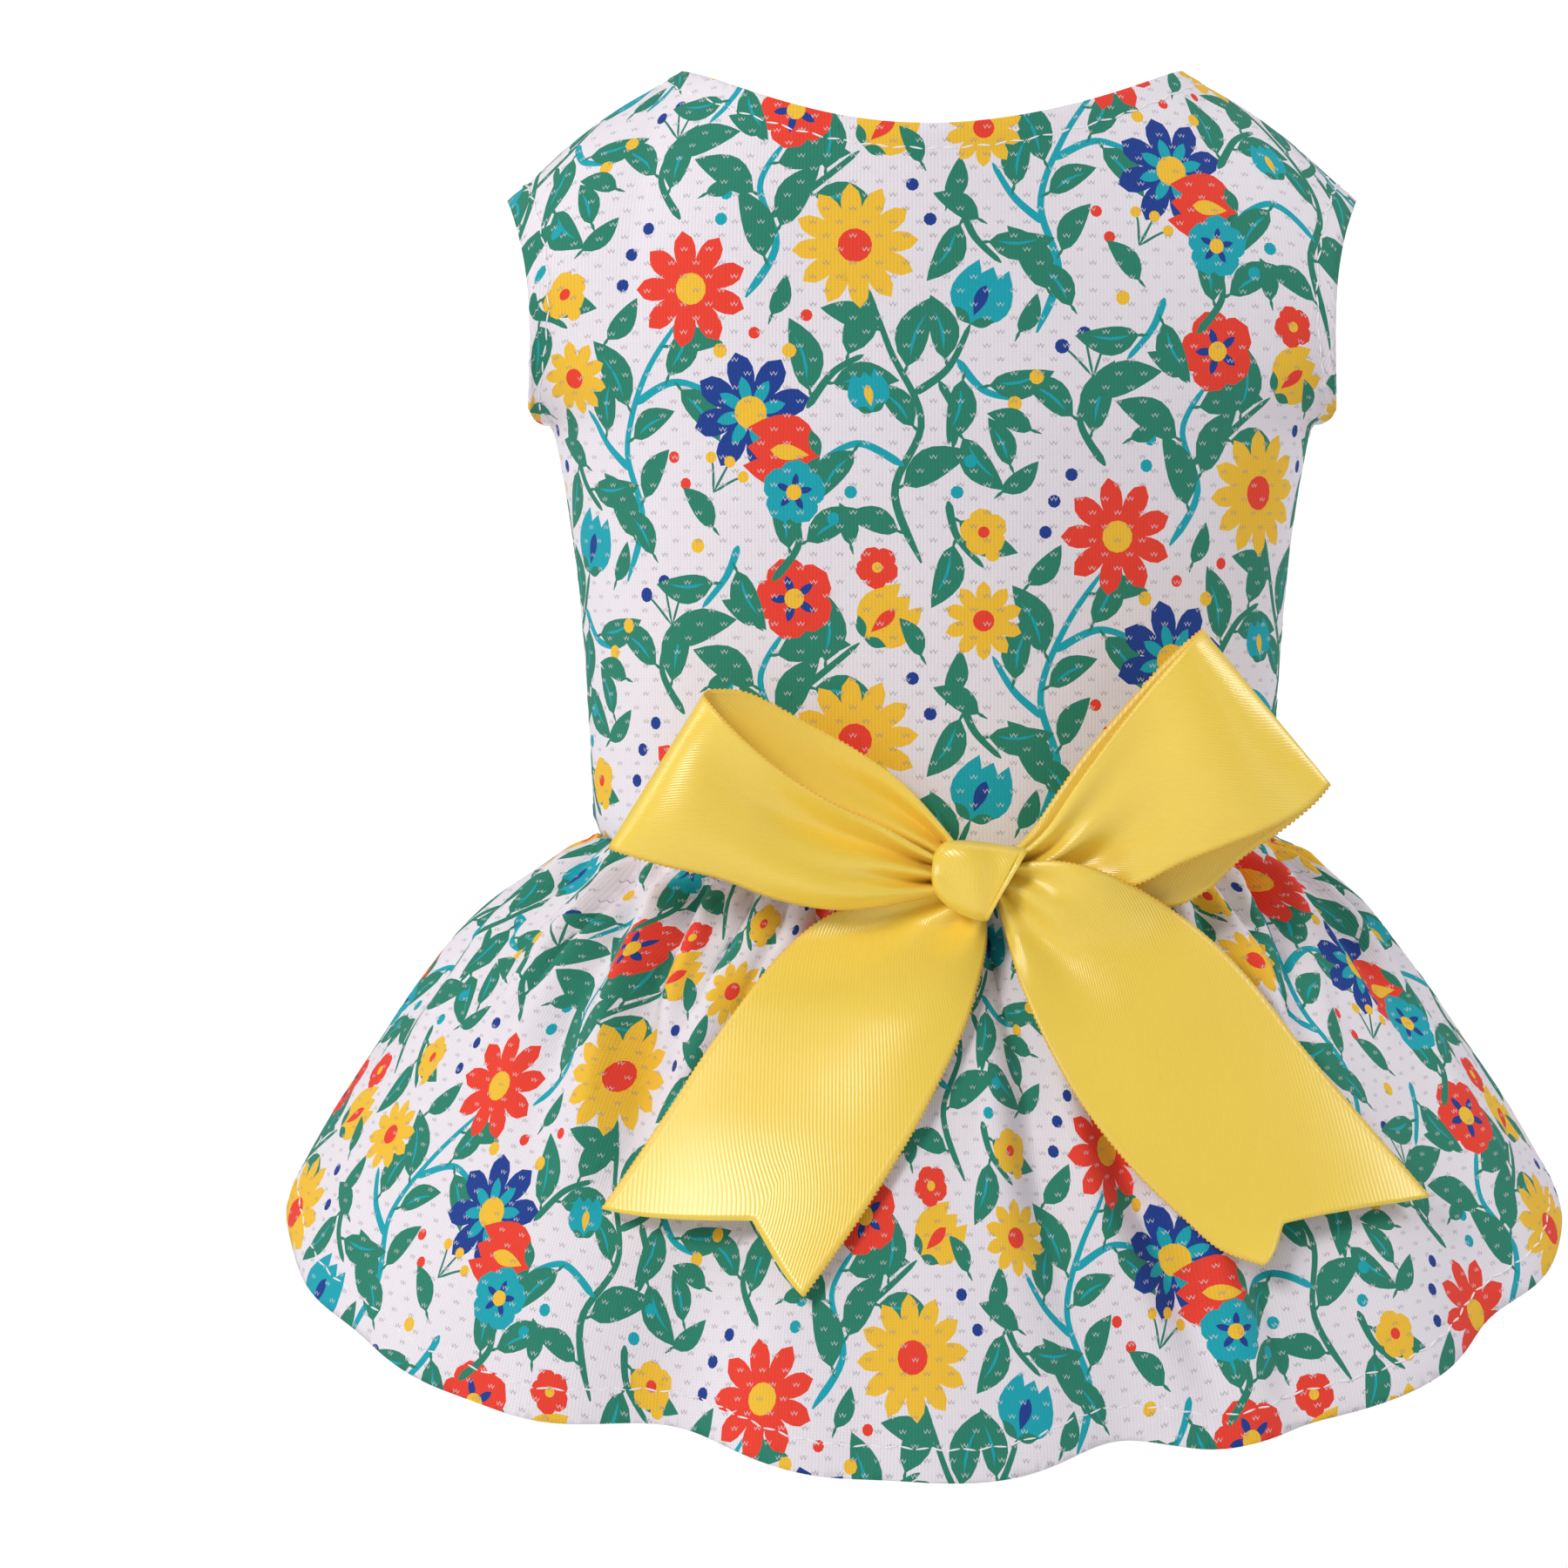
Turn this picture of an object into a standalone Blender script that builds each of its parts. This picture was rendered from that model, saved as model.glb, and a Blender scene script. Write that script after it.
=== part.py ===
"""A sleeveless dog dress with a gathered skirt and a tied satin bow, as it stands when worn.

The dog's back faces -Y and its neck points to +Z. The origin lies on the axis of the torso,
level with the middle of the two leg holes. Turn is the angle round that axis from the middle
of the back (0) past the dog's right side, +X (90 degrees), to the middle of the belly (180).
Every table below holds shares of the named sizes above it.
"""

import math
from collections import namedtuple

import bmesh
import bpy
from mathutils import Vector

MM = 0.001

# Cloth, ribbon and the gap that sewn pieces keep
CLOTH_THICKNESS = 1.2 * MM
RIBBON_THICKNESS = 1.0 * MM
RIBBON_WIDTH = 40.0 * MM
SEAM_GAP = 0.4 * MM

# Bodice: two panels round the torso
CHEST_WIDTH = 149.0 * MM
CHEST_DEPTH = 92.0 * MM
WAIST_WIDTH = 133.0 * MM
WAIST_DEPTH = 82.0 * MM
CHEST_SWELL = 2.2
WAIST_BELOW_ORIGIN = 101.0 * MM
WAIST_DIP_AT_BACK = 15.0 * MM
WAIST_RISE_AT_BELLY = 5.0 * MM

# Neck, shoulders and leg holes
NECK_WIDTH = 98.0 * MM
NECK_DEPTH = 74.0 * MM
NECK_HEIGHT = 47.0 * MM
NECK_DIP_AT_BACK = 10.8 * MM
NECK_DIP_AT_BELLY = 18.0 * MM
SHOULDER_WIDTH = 165.4 * MM
SHOULDER_BOW = 1.8 * MM
LEG_HOLE_HEIGHT = 44.0 * MM
LEG_HOLE_WIDTH = 44.0 * MM
LEG_HOLE_FLARE = 3.8 * MM

# Skirt: one gathered tube whose hem is long over the back and short under the belly
HEM_WIDTH = 249.0 * MM
HEM_REACH_AT_BACK = 84.0 * MM
HEM_REACH_AT_BELLY = 76.0 * MM
SKIRT_LENGTH_AT_SIDE = 74.6 * MM
HEM_DROP_AT_BACK = 50.6 * MM
HEM_RISE_AT_BELLY = 24.0 * MM
SKIRT_SWAY = 1.4 * MM
FOLD_DEPTH = 10.0 * MM
GATHER_COUNT = 32
GATHER_DEPTH = 1.5 * MM
GATHER_START = 0.06
GATHER_END = 0.5

# Bow: knot, two loops and two tails of one ribbon
KNOT_WIDTH = 17.0 * MM
KNOT_HEIGHT = 14.0 * MM
KNOT_DEPTH = 13.0 * MM
KNOT_RIGHT_OF_MIDDLE = 8.8 * MM
KNOT_ABOVE_WAIST_SEAM = 5.5 * MM
LOOP_REACH = 53.5 * MM
LOOP_DEPTH = 17.0 * MM
TAIL_LENGTH = 83.5 * MM
TAIL_NOTCH = 10.0 * MM
BOW_CLEARANCE = 0.3 * MM

# How the shapes run between their ends: exponents, and shares of a height or a length
NECK_DIP_ROUNDNESS = 2.4
SHOULDER_ROLL_REACH = 0.8
LEG_HOLE_FLARE_RISE = 0.16
FOLD_GROWTH = 0.8
SWAY_END = 0.3
KNOT_ROUNDNESS = 0.7
LOOP_OFF_DRESS = 0.1
LOOP_RISES_FROM = 0.12
TAIL_TURN_END = 0.3
TAIL_HANG_START = 0.1
TAIL_HANG_END = 0.5
TAIL_CUT_START = 0.7

# Mesh steps
NECK_COLUMNS = 14
SHOULDER_COLUMNS = 4
PANEL_ROWS_BELOW_HOLES = 6
PANEL_ROWS_BESIDE_HOLES = 8
COLUMNS_PER_GATHER = 4
RIBBON_COLUMNS = 6
LOOP_ROWS = 18
TAIL_ROWS = 13
KNOT_RINGS = 6
KNOT_SIDES = 14

# Heights down the skirt at which its rows lie, as shares of its length
SKIRT_ROWS = (0.0, 0.03, 0.08, 0.16, 0.27, 0.40, 0.55, 0.70, 0.85, 0.95, 1.0)

# How far the skirt has spread from the waist's size (0) to the hem's (1), in even steps down it
SkirtSpread = namedtuple("SkirtSpread", "spread")
SKIRT_SPREADS = (
    SkirtSpread(0.0),
    SkirtSpread(0.31),
    SkirtSpread(0.535),
    SkirtSpread(0.715),
    SkirtSpread(0.88),
    SkirtSpread(1.0),
)

# Soft folds of the skirt. Depth is a share of FOLD_DEPTH: below zero the cloth falls inwards.
Fold = namedtuple("Fold", "turn_deg depth half_width_deg")
FOLDS = (
    Fold(turn_deg=-152, depth=-0.55, half_width_deg=13),
    Fold(turn_deg=-124, depth=-0.70, half_width_deg=12),
    Fold(turn_deg=-102, depth=-0.30, half_width_deg=7),
    Fold(turn_deg=-64, depth=-0.15, half_width_deg=6),
    Fold(turn_deg=-45, depth=-0.10, half_width_deg=5),
    Fold(turn_deg=-25, depth=-1.10, half_width_deg=10),
    Fold(turn_deg=-4, depth=-0.10, half_width_deg=5),
    Fold(turn_deg=18, depth=-0.95, half_width_deg=7),
    Fold(turn_deg=37, depth=-0.20, half_width_deg=6),
    Fold(turn_deg=66, depth=-0.50, half_width_deg=8),
    Fold(turn_deg=104, depth=-0.45, half_width_deg=9),
    Fold(turn_deg=128, depth=-0.65, half_width_deg=11),
    Fold(turn_deg=157, depth=-0.60, half_width_deg=13),
)

# A loop from its front layer at the knot, round its end, to its back layer at the knot.
# Reach is a share of LOOP_REACH, width and aside of RIBBON_WIDTH, stand and crease of
# LOOP_DEPTH, turn says how far the cross line has swung from the knot's side to the loop's
# end, and layer how far it has passed from the front layer to the back one.
LoopSection = namedtuple("LoopSection", "reach width aside stand crease turn layer")
LOOP_SECTIONS = (
    LoopSection(reach=0.00, width=0.26, aside=0.00, stand=0.44, crease=0.08, turn=0.0, layer=0.0),
    LoopSection(reach=0.14, width=0.40, aside=-0.02, stand=0.62, crease=0.13, turn=0.4, layer=0.0),
    LoopSection(reach=0.38, width=0.64, aside=-0.05, stand=0.86, crease=0.10, turn=0.9, layer=0.0),
    LoopSection(reach=0.68, width=0.85, aside=-0.03, stand=1.00, crease=0.04, turn=1.0, layer=0.0),
    LoopSection(reach=0.92, width=0.95, aside=0.00, stand=0.92, crease=0.00, turn=1.0, layer=0.0),
    LoopSection(reach=1.00, width=0.97, aside=0.00, stand=0.66, crease=0.00, turn=1.0, layer=0.2),
    LoopSection(reach=0.94, width=0.96, aside=0.00, stand=0.42, crease=0.00, turn=1.0, layer=0.4),
    LoopSection(reach=0.68, width=0.85, aside=0.00, stand=0.32, crease=0.04, turn=1.0, layer=0.9),
    LoopSection(reach=0.38, width=0.62, aside=0.00, stand=0.28, crease=0.06, turn=0.9, layer=0.7),
    LoopSection(reach=0.14, width=0.40, aside=0.00, stand=0.25, crease=0.06, turn=0.4, layer=0.3),
    LoopSection(reach=0.00, width=0.28, aside=0.00, stand=0.22, crease=0.04, turn=0.0, layer=0.0),
)

# How each loop lies: where its root is on the knot, as shares of the knot's half sizes, how
# the root edge leans, how far it stands out there, as a share of what the sections say, the
# way the loop points, how its end leans, and how far up the ribbon's width its back layer is.
LoopLay = namedtuple(
    "LoopLay", "name side root_x root_z root_lean_deg root_stand points_up_deg end_lean_deg back_shift"
)
LOOP_LAYS = (
    LoopLay("bow_loop_left", -1, 1.00, 0.16, 0, 1.0, points_up_deg=18.5, end_lean_deg=14, back_shift=0.25),
    LoopLay("bow_loop_right", 1, 0.87, 0.40, -30, 0.42, points_up_deg=34, end_lean_deg=6, back_shift=-0.12),
)

# A tail from the knot to its end. Along is a share of TAIL_LENGTH, aside and width of
# RIBBON_WIDTH, lift and crease of LOOP_DEPTH.
TailSection = namedtuple("TailSection", "along aside width lift crease")
LEFT_TAIL_SECTIONS = (
    TailSection(along=0.00, aside=0.00, width=0.24, lift=0.14, crease=0.03),
    TailSection(along=0.07, aside=-0.06, width=0.48, lift=0.13, crease=0.06),
    TailSection(along=0.16, aside=-0.10, width=0.72, lift=0.10, crease=0.06),
    TailSection(along=0.30, aside=-0.07, width=0.93, lift=0.06, crease=0.04),
    TailSection(along=0.60, aside=-0.03, width=1.00, lift=0.01, crease=0.01),
    TailSection(along=1.00, aside=0.00, width=1.00, lift=0.06, crease=0.00),
)
RIGHT_TAIL_SECTIONS = (
    TailSection(along=0.00, aside=0.00, width=0.30, lift=0.50, crease=0.03),
    TailSection(along=0.12, aside=0.03, width=0.58, lift=0.60, crease=0.07),
    TailSection(along=0.28, aside=0.04, width=0.90, lift=0.42, crease=0.08),
    TailSection(along=0.48, aside=0.03, width=0.98, lift=0.20, crease=0.05),
    TailSection(along=0.72, aside=0.01, width=1.00, lift=0.06, crease=0.03),
    TailSection(along=1.00, aside=0.00, width=1.00, lift=0.10, crease=0.03),
)

# How each tail lies: its length as a share of TAIL_LENGTH, where its root is on the knot, as
# shares of the knot's half sizes, the way it points, the way its root edge faces, and how far
# its cut end slants, as a share of TAIL_NOTCH.
TailLay = namedtuple("TailLay", "name sections length root_x root_z points_deg root_faces_deg cut_slant")
TAIL_LAYS = (
    TailLay("bow_tail_left", LEFT_TAIL_SECTIONS, 0.96, -0.34, -0.80, -127, -118, cut_slant=-0.16),
    TailLay("bow_tail_right", RIGHT_TAIL_SECTIONS, 1.07, 0.60, -0.14, -45, -31, cut_slant=0.5),
)

# The knot's rings from left to right: top and foot are shares of half KNOT_HEIGHT, depth of
# KNOT_DEPTH, and lean, a share of KNOT_WIDTH, sets the ring's top to the right of its foot.
KnotRing = namedtuple("KnotRing", "along top foot depth lean")
KNOT_TABLE = (
    KnotRing(along=-0.50, top=0.50, foot=0.30, depth=0.82, lean=0.00),
    KnotRing(along=-0.40, top=0.94, foot=0.50, depth=0.92, lean=0.01),
    KnotRing(along=-0.06, top=1.00, foot=0.84, depth=1.00, lean=0.08),
    KnotRing(along=0.22, top=0.95, foot=1.02, depth=0.96, lean=0.20),
    KnotRing(along=0.31, top=0.80, foot=0.98, depth=0.86, lean=0.22),
)


def mix(low, high, share):
    """The value that lies share of the way from low to high."""
    return low + (high - low) * share


def ease(share):
    """A smooth step from 0 to 1."""
    share = min(1.0, max(0.0, share))
    return share * share * (3 - 2 * share)


def smooth_row(rows, share):
    """A row of numbers read from a smooth curve through rows, from the first (0) to the last (1)."""
    place = share * (len(rows) - 1)
    first = min(int(place), len(rows) - 2)
    step = place - first
    before = rows[max(first - 1, 0)]
    after = rows[min(first + 2, len(rows) - 1)]
    values = []
    for a, b, c, d in zip(before, rows[first], rows[first + 1], after):
        slope = (c - a) / 2
        next_slope = (d - b) / 2
        values.append(
            b
            + slope * step
            + (3 * (c - b) - 2 * slope - next_slope) * step**2
            + (2 * (b - c) + slope + next_slope) * step**3
        )
    return type(rows[0])(*values)


# Bodice


def waist_height(turn):
    """Height of the waist seam, which hangs lower over the back."""
    middle = math.cos(turn)
    if middle > 0:
        return -WAIST_BELOW_ORIGIN - WAIST_DIP_AT_BACK * middle**2
    return -WAIST_BELOW_ORIGIN + WAIST_RISE_AT_BELLY * middle**2


def torso_half_sizes(rise):
    """Half width and half depth of the bodice, from the waist (0) to the leg holes (1)."""
    swell = min(1.0, max(0.0, rise)) ** CHEST_SWELL
    return mix(WAIST_WIDTH, CHEST_WIDTH, swell) / 2, mix(WAIST_DEPTH, CHEST_DEPTH, swell) / 2


def panel_below_holes(facing, across, rise):
    """A point of a panel between the waist (rise 0) and the foot of the leg holes (rise 1)."""
    angle = abs(across) * math.pi / 2
    half_width, half_depth = torso_half_sizes(rise)
    turn = angle if facing < 0 else math.pi - angle
    height = mix(waist_height(turn), -LEG_HOLE_HEIGHT / 2, rise)
    return Vector((half_width * math.sin(angle), facing * half_depth * math.cos(angle), height))


def panel_top(facing, side_share):
    """A point of a panel's top edge: the neckline, then the shoulder seam out to its tip."""
    neck_share = NECK_WIDTH / SHOULDER_WIDTH
    dip = NECK_DIP_AT_BACK if facing < 0 else NECK_DIP_AT_BELLY
    if side_share <= neck_share:
        angle = side_share / neck_share * math.pi / 2
        return Vector((
            NECK_WIDTH / 2 * math.sin(angle),
            facing * NECK_DEPTH / 2 * math.cos(angle),
            NECK_HEIGHT - dip * math.cos(angle) ** NECK_DIP_ROUNDNESS,
        ))
    outwards = (side_share - neck_share) / (1 - neck_share)
    return Vector((
        mix(NECK_WIDTH, SHOULDER_WIDTH, outwards) / 2,
        0.0,
        mix(NECK_HEIGHT, LEG_HOLE_HEIGHT / 2, outwards) + SHOULDER_BOW * math.sin(math.pi * outwards),
    ))


def leg_hole_edge(facing, rise):
    """A point of the leg hole's edge, from its foot (0) up to the shoulder tip (1)."""
    angle = math.pi * rise
    foot = CHEST_WIDTH / 2
    proud = LEG_HOLE_FLARE * ease(rise / LEG_HOLE_FLARE_RISE)
    tip = max(0.0, -math.cos(angle)) ** 2
    width = mix(foot + proud, SHOULDER_WIDTH / 2, tip)
    return Vector((
        width,
        facing * LEG_HOLE_WIDTH / 2 * math.sin(angle),
        -LEG_HOLE_HEIGHT / 2 * math.cos(angle),
    ))


def panel_beside_holes(facing, across, rise):
    """A point of a panel between the foot of the leg holes (rise 0) and its top edge (rise 1)."""
    side_share = abs(across)
    low = panel_below_holes(facing, side_share, 1.0)
    top = panel_top(facing, side_share)
    rolled = ease(side_share / SHOULDER_ROLL_REACH)
    inwards = mix(rise**1.5, 1 - math.cos(rise * math.pi / 2), rolled)
    upwards = mix(rise, math.sin(rise * math.pi / 2), rolled)
    point = Vector((mix(low.x, top.x, inwards), mix(low.y, top.y, inwards), mix(low.z, top.z, upwards)))
    if rise <= 0 or rise >= 1:
        return point
    corner_low = panel_below_holes(facing, 1.0, 1.0)
    corner_top = panel_top(facing, 1.0)
    plain_edge = Vector((
        mix(corner_low.x, corner_top.x, 1 - math.cos(rise * math.pi / 2)),
        0.0,
        mix(corner_low.z, corner_top.z, math.sin(rise * math.pi / 2)),
    ))
    return point + (leg_hole_edge(facing, rise) - plain_edge) * side_share**2


def panel_shares():
    """Where a panel's columns lie, from one side seam (-1) to the other (1), one on each neck point."""
    neck_share = NECK_WIDTH / SHOULDER_WIDTH
    neck = [neck_share * (2 * column / NECK_COLUMNS - 1) for column in range(NECK_COLUMNS + 1)]
    shoulder = [mix(neck_share, 1.0, (step + 1) / SHOULDER_COLUMNS) for step in range(SHOULDER_COLUMNS)]
    return [-share for share in reversed(shoulder)] + neck + shoulder


def panel_grid(facing):
    """Rows of points over a whole panel, from the waist up; facing is -1 for back, 1 for belly."""
    rows = []
    for number in range(PANEL_ROWS_BELOW_HOLES + PANEL_ROWS_BESIDE_HOLES + 1):
        row = []
        for across in panel_shares():
            if number <= PANEL_ROWS_BELOW_HOLES:
                point = panel_below_holes(facing, across, number / PANEL_ROWS_BELOW_HOLES)
            else:
                beside = (number - PANEL_ROWS_BELOW_HOLES) / PANEL_ROWS_BESIDE_HOLES
                point = panel_beside_holes(facing, across, beside)
            point.x *= math.copysign(1, across)
            point.y += facing * SEAM_GAP / 2
            row.append(point)
        rows.append(row)
    return rows


# Skirt


def fold_depth(turn):
    """How far the folds push the hem outwards at a turn; below zero is inwards."""
    depth = 0.0
    for fold in FOLDS:
        away = math.degrees(turn) - fold.turn_deg
        away = (away + 180) % 360 - 180
        depth += fold.depth * math.exp(-((away / fold.half_width_deg) ** 2))
    return depth * FOLD_DEPTH


def hem_height(turn):
    """Height of the hem without folds."""
    middle = math.cos(turn)
    side = -WAIST_BELOW_ORIGIN - SKIRT_LENGTH_AT_SIDE
    if middle > 0:
        return side - HEM_DROP_AT_BACK * middle
    return side + HEM_RISE_AT_BELLY * (1 - math.exp(HEM_DROP_AT_BACK * middle / HEM_RISE_AT_BELLY))


def skirt_spread(drop):
    """How far the skirt has spread from the waist's size (0) to the hem's (1) at a drop."""
    return smooth_row(SKIRT_SPREADS, drop).spread


def gather_height(drop):
    """How far the gathers stand out below the waist seam at a drop."""
    fading = max(0.0, 1 - drop / GATHER_END) ** 2
    growing = mix(0.3, 1.0, ease(drop / GATHER_START))
    return GATHER_DEPTH * fading * growing


def skirt_point(turn, drop, folded=True):
    """A point of the skirt, from the waist seam (drop 0) to the hem (drop 1)."""
    hem_reach = HEM_REACH_AT_BACK if math.cos(turn) > 0 else HEM_REACH_AT_BELLY
    spread = skirt_spread(drop)
    half_width = mix(WAIST_WIDTH / 2, HEM_WIDTH / 2, spread)
    half_depth = mix(WAIST_DEPTH / 2, hem_reach, spread)
    sway = SKIRT_SWAY * ease(drop / SWAY_END)
    push = 0.0
    lift = 0.0
    if folded:
        fold = fold_depth(turn)
        push = fold * drop**FOLD_GROWTH + gather_height(drop) * math.cos(GATHER_COUNT * turn)
        slope = HEM_DROP_AT_BACK / HEM_REACH_AT_BACK
        lift = -fold * max(0.0, math.cos(turn)) * slope
    outwards = Vector((math.sin(turn) / half_width, -math.cos(turn) / half_depth, 0)).normalized()
    height = mix(waist_height(turn), hem_height(turn) + lift, drop)
    point = Vector((half_width * math.sin(turn) - sway, -half_depth * math.cos(turn), height))
    return point + outwards * push


def skirt_grid():
    """Rings of points from the waist seam to the hem."""
    columns = GATHER_COUNT * COLUMNS_PER_GATHER
    seam = Vector((0, 0, -SEAM_GAP))
    return [
        [skirt_point(2 * math.pi * column / columns, drop) + seam for column in range(columns)]
        for drop in SKIRT_ROWS
    ]


def front_of_dress(x, z):
    """The y of the dress's outer face behind the bow, with the folds and gathers at their fullest."""
    drop = 0.0
    turn = 0.0
    for _ in range(24):
        half_width = mix(WAIST_WIDTH, HEM_WIDTH, skirt_spread(drop)) / 2
        turn = math.asin(max(-0.98, min(0.98, x / half_width)))
        span = hem_height(turn) - waist_height(turn)
        drop = min(1.0, max(0.0, (z - waist_height(turn)) / span))
    if drop > 0:
        return skirt_point(turn, drop, folded=False).y - gather_height(drop)
    rise = (z - waist_height(turn)) / (-LEG_HOLE_HEIGHT / 2 - waist_height(turn))
    half_width, half_depth = torso_half_sizes(rise)
    return -half_depth * math.sqrt(max(0.0, 1 - (x / half_width) ** 2))


# Bow


def bow_seat():
    """The bow's middle on the dress: its x, the y of the dress behind the knot, and its z."""
    x = KNOT_RIGHT_OF_MIDDLE
    z = KNOT_ABOVE_WAIST_SEAM - WAIST_BELOW_ORIGIN - WAIST_DIP_AT_BACK
    behind = min(front_of_dress(x, z + part * KNOT_HEIGHT / 2) for part in (-1.0, -0.5, 0.0, 1.0))
    return Vector((x, behind - BOW_CLEARANCE, z))


def knot_rings():
    """Rings of points round the knot, from its left end to its right."""
    seat = bow_seat()
    rings = []
    for number in range(KNOT_RINGS + 1):
        ring = smooth_row(KNOT_TABLE, number / KNOT_RINGS)
        points = []
        for side in range(KNOT_SIDES):
            angle = 2 * math.pi * side / KNOT_SIDES
            up = math.copysign(abs(math.sin(angle)) ** KNOT_ROUNDNESS, math.sin(angle))
            out = (1 - math.copysign(abs(math.cos(angle)) ** KNOT_ROUNDNESS, math.cos(angle))) / 2
            z = up * (ring.top if up > 0 else ring.foot) * KNOT_HEIGHT / 2
            x = ring.along * KNOT_WIDTH + ring.lean * KNOT_WIDTH * up
            points.append(seat + Vector((x, -out * ring.depth * KNOT_DEPTH, z)))
        rings.append(points)
    return rings


def crossed_ribbon_row(middle, across, width, crease):
    """Points across a ribbon whose middle line stands out by crease."""
    row = []
    for column in range(RIBBON_COLUMNS + 1):
        share = 2 * column / RIBBON_COLUMNS - 1
        stand = Vector((0, -crease * math.cos(share * math.pi), 0))
        row.append(middle + across * (share * width / 2) + stand)
    return row


def loop_grid(lay):
    """Rows of points across one loop, along its front layer, round its end and back."""
    seat = bow_seat()
    up_angle = math.radians(lay.points_up_deg)
    along = Vector((lay.side * math.cos(up_angle), 0, math.sin(up_angle)))
    end_angle = math.radians(lay.points_up_deg + lay.end_lean_deg)
    root = seat + Vector((
        lay.side * (lay.root_x * KNOT_WIDTH / 2 + SEAM_GAP),
        0,
        lay.root_z * KNOT_HEIGHT / 2,
    ))
    rows = []
    for number in range(LOOP_ROWS + 1):
        section = smooth_row(LOOP_SECTIONS, number / LOOP_ROWS)
        swing = mix(math.radians(lay.root_lean_deg), end_angle, section.turn)
        across = Vector((-lay.side * math.sin(swing), 0, math.cos(swing)))
        near_knot = mix(lay.root_stand, 1.0, ease(section.reach - LOOP_RISES_FROM))
        stand = KNOT_DEPTH * LOOP_OFF_DRESS + section.stand * LOOP_DEPTH * near_knot
        shift = across * ((section.aside + lay.back_shift * section.layer) * RIBBON_WIDTH)
        middle = root + along * (section.reach * LOOP_REACH) + shift + Vector((0, -stand, 0))
        width = section.width * RIBBON_WIDTH
        rows.append(crossed_ribbon_row(middle, across, width, section.crease * LOOP_DEPTH))
    return rows


def tail_grid(lay):
    """Rows of points across one tail, from the knot down to its notched end."""
    seat = bow_seat()
    point_angle = math.radians(lay.points_deg)
    along = Vector((math.cos(point_angle), 0, math.sin(point_angle)))
    root_angle = math.radians(lay.root_faces_deg)
    faces = Vector((math.cos(root_angle), 0, math.sin(root_angle)))
    root = seat + Vector((lay.root_x * KNOT_WIDTH / 2, 0, lay.root_z * KNOT_HEIGHT / 2))
    root += faces * SEAM_GAP
    rows = []
    for number in range(TAIL_ROWS + 1):
        section = smooth_row(lay.sections, number / TAIL_ROWS)
        swing = mix(root_angle, point_angle, ease(section.along / TAIL_TURN_END))
        across = Vector((-math.sin(swing), 0, math.cos(swing)))
        middle = root + along * (section.along * lay.length * TAIL_LENGTH)
        middle += across * (section.aside * RIBBON_WIDTH)
        row = crossed_ribbon_row(middle, across, section.width * RIBBON_WIDTH, section.crease * LOOP_DEPTH)
        for column, point in enumerate(row):
            share = 2 * column / RIBBON_COLUMNS - 1
            cut = ease((section.along - TAIL_CUT_START) / (1 - TAIL_CUT_START))
            point += along * (TAIL_NOTCH * cut * (abs(share) - 1 + lay.cut_slant * share))
            dress = front_of_dress(point.x, point.z)
            hang = ease((section.along - TAIL_HANG_START) / (TAIL_HANG_END - TAIL_HANG_START))
            lift = section.lift * LOOP_DEPTH + RIBBON_THICKNESS + BOW_CLEARANCE
            crease = point.y - middle.y
            point.y = mix(min(seat.y, dress), dress, hang) - lift + crease
        rows.append(row)
    return rows


# Solids


def grid_normals(grid, closed):
    """Normals of a grid of points, from its rows and columns."""
    last_row = len(grid) - 1
    count = len(grid[0])
    normals = []
    for number, row in enumerate(grid):
        above = grid[min(number + 1, last_row)]
        below = grid[max(number - 1, 0)]
        line = []
        for column in range(count):
            if closed:
                after, before = (column + 1) % count, column - 1
            else:
                after, before = min(column + 1, count - 1), max(column - 1, 0)
            line.append((row[after] - row[before]).cross(above[column] - below[column]).normalized())
        normals.append(line)
    return normals


def bound_body(name, layers, closed, material):
    """One closed body between an outer and an inner grid of points."""
    mesh_data = bmesh.new()
    outer, inner = ([[mesh_data.verts.new(p) for p in row] for row in layer] for layer in layers)
    count = len(outer[0])
    columns = range(count if closed else count - 1)
    for number in range(len(outer) - 1):
        for column in columns:
            after = (column + 1) % count
            for skin in (outer, inner):
                low, high = skin[number], skin[number + 1]
                mesh_data.faces.new((low[column], low[after], high[after], high[column]))
        if not closed:
            for edge in (0, count - 1):
                end = (outer[number][edge], outer[number + 1][edge])
                mesh_data.faces.new((*end, inner[number + 1][edge], inner[number][edge]))
    for edge in (0, len(outer) - 1):
        for column in columns:
            after = (column + 1) % count
            mesh_data.faces.new(
                (outer[edge][column], outer[edge][after], inner[edge][after], inner[edge][column])
            )
    return finish_body(name, mesh_data, material)


def finish_body(name, mesh_data, material):
    """Turns a bmesh into an object with outward faces, smooth shading and its material."""
    bmesh.ops.recalc_face_normals(mesh_data, faces=mesh_data.faces)
    mesh = bpy.data.meshes.new(name)
    mesh_data.to_mesh(mesh)
    mesh_data.free()
    mesh.materials.append(material)
    mesh.shade_smooth()
    mesh.set_sharp_from_angle(angle=math.radians(50))
    thing = bpy.data.objects.new(name, mesh)
    bpy.context.scene.collection.objects.link(thing)
    return thing


def panel(name, facing, material):
    """One bodice panel. On a seam its wall is square to the seam, so that panels meet face to face."""
    grid = panel_grid(facing)
    normals = grid_normals(grid, closed=False)
    inner = []
    for row, line in zip(grid, normals):
        points = []
        for point, normal in zip(row, line):
            outwards = normal if normal.dot(Vector((point.x, point.y, 0))) > 0 else -normal
            if abs(point.y) <= SEAM_GAP:
                outwards = Vector((outwards.x, 0, outwards.z)).normalized()
            points.append(point - outwards * CLOTH_THICKNESS)
        inner.append(points)
    return bound_body(name, (grid, inner), False, material)


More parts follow.
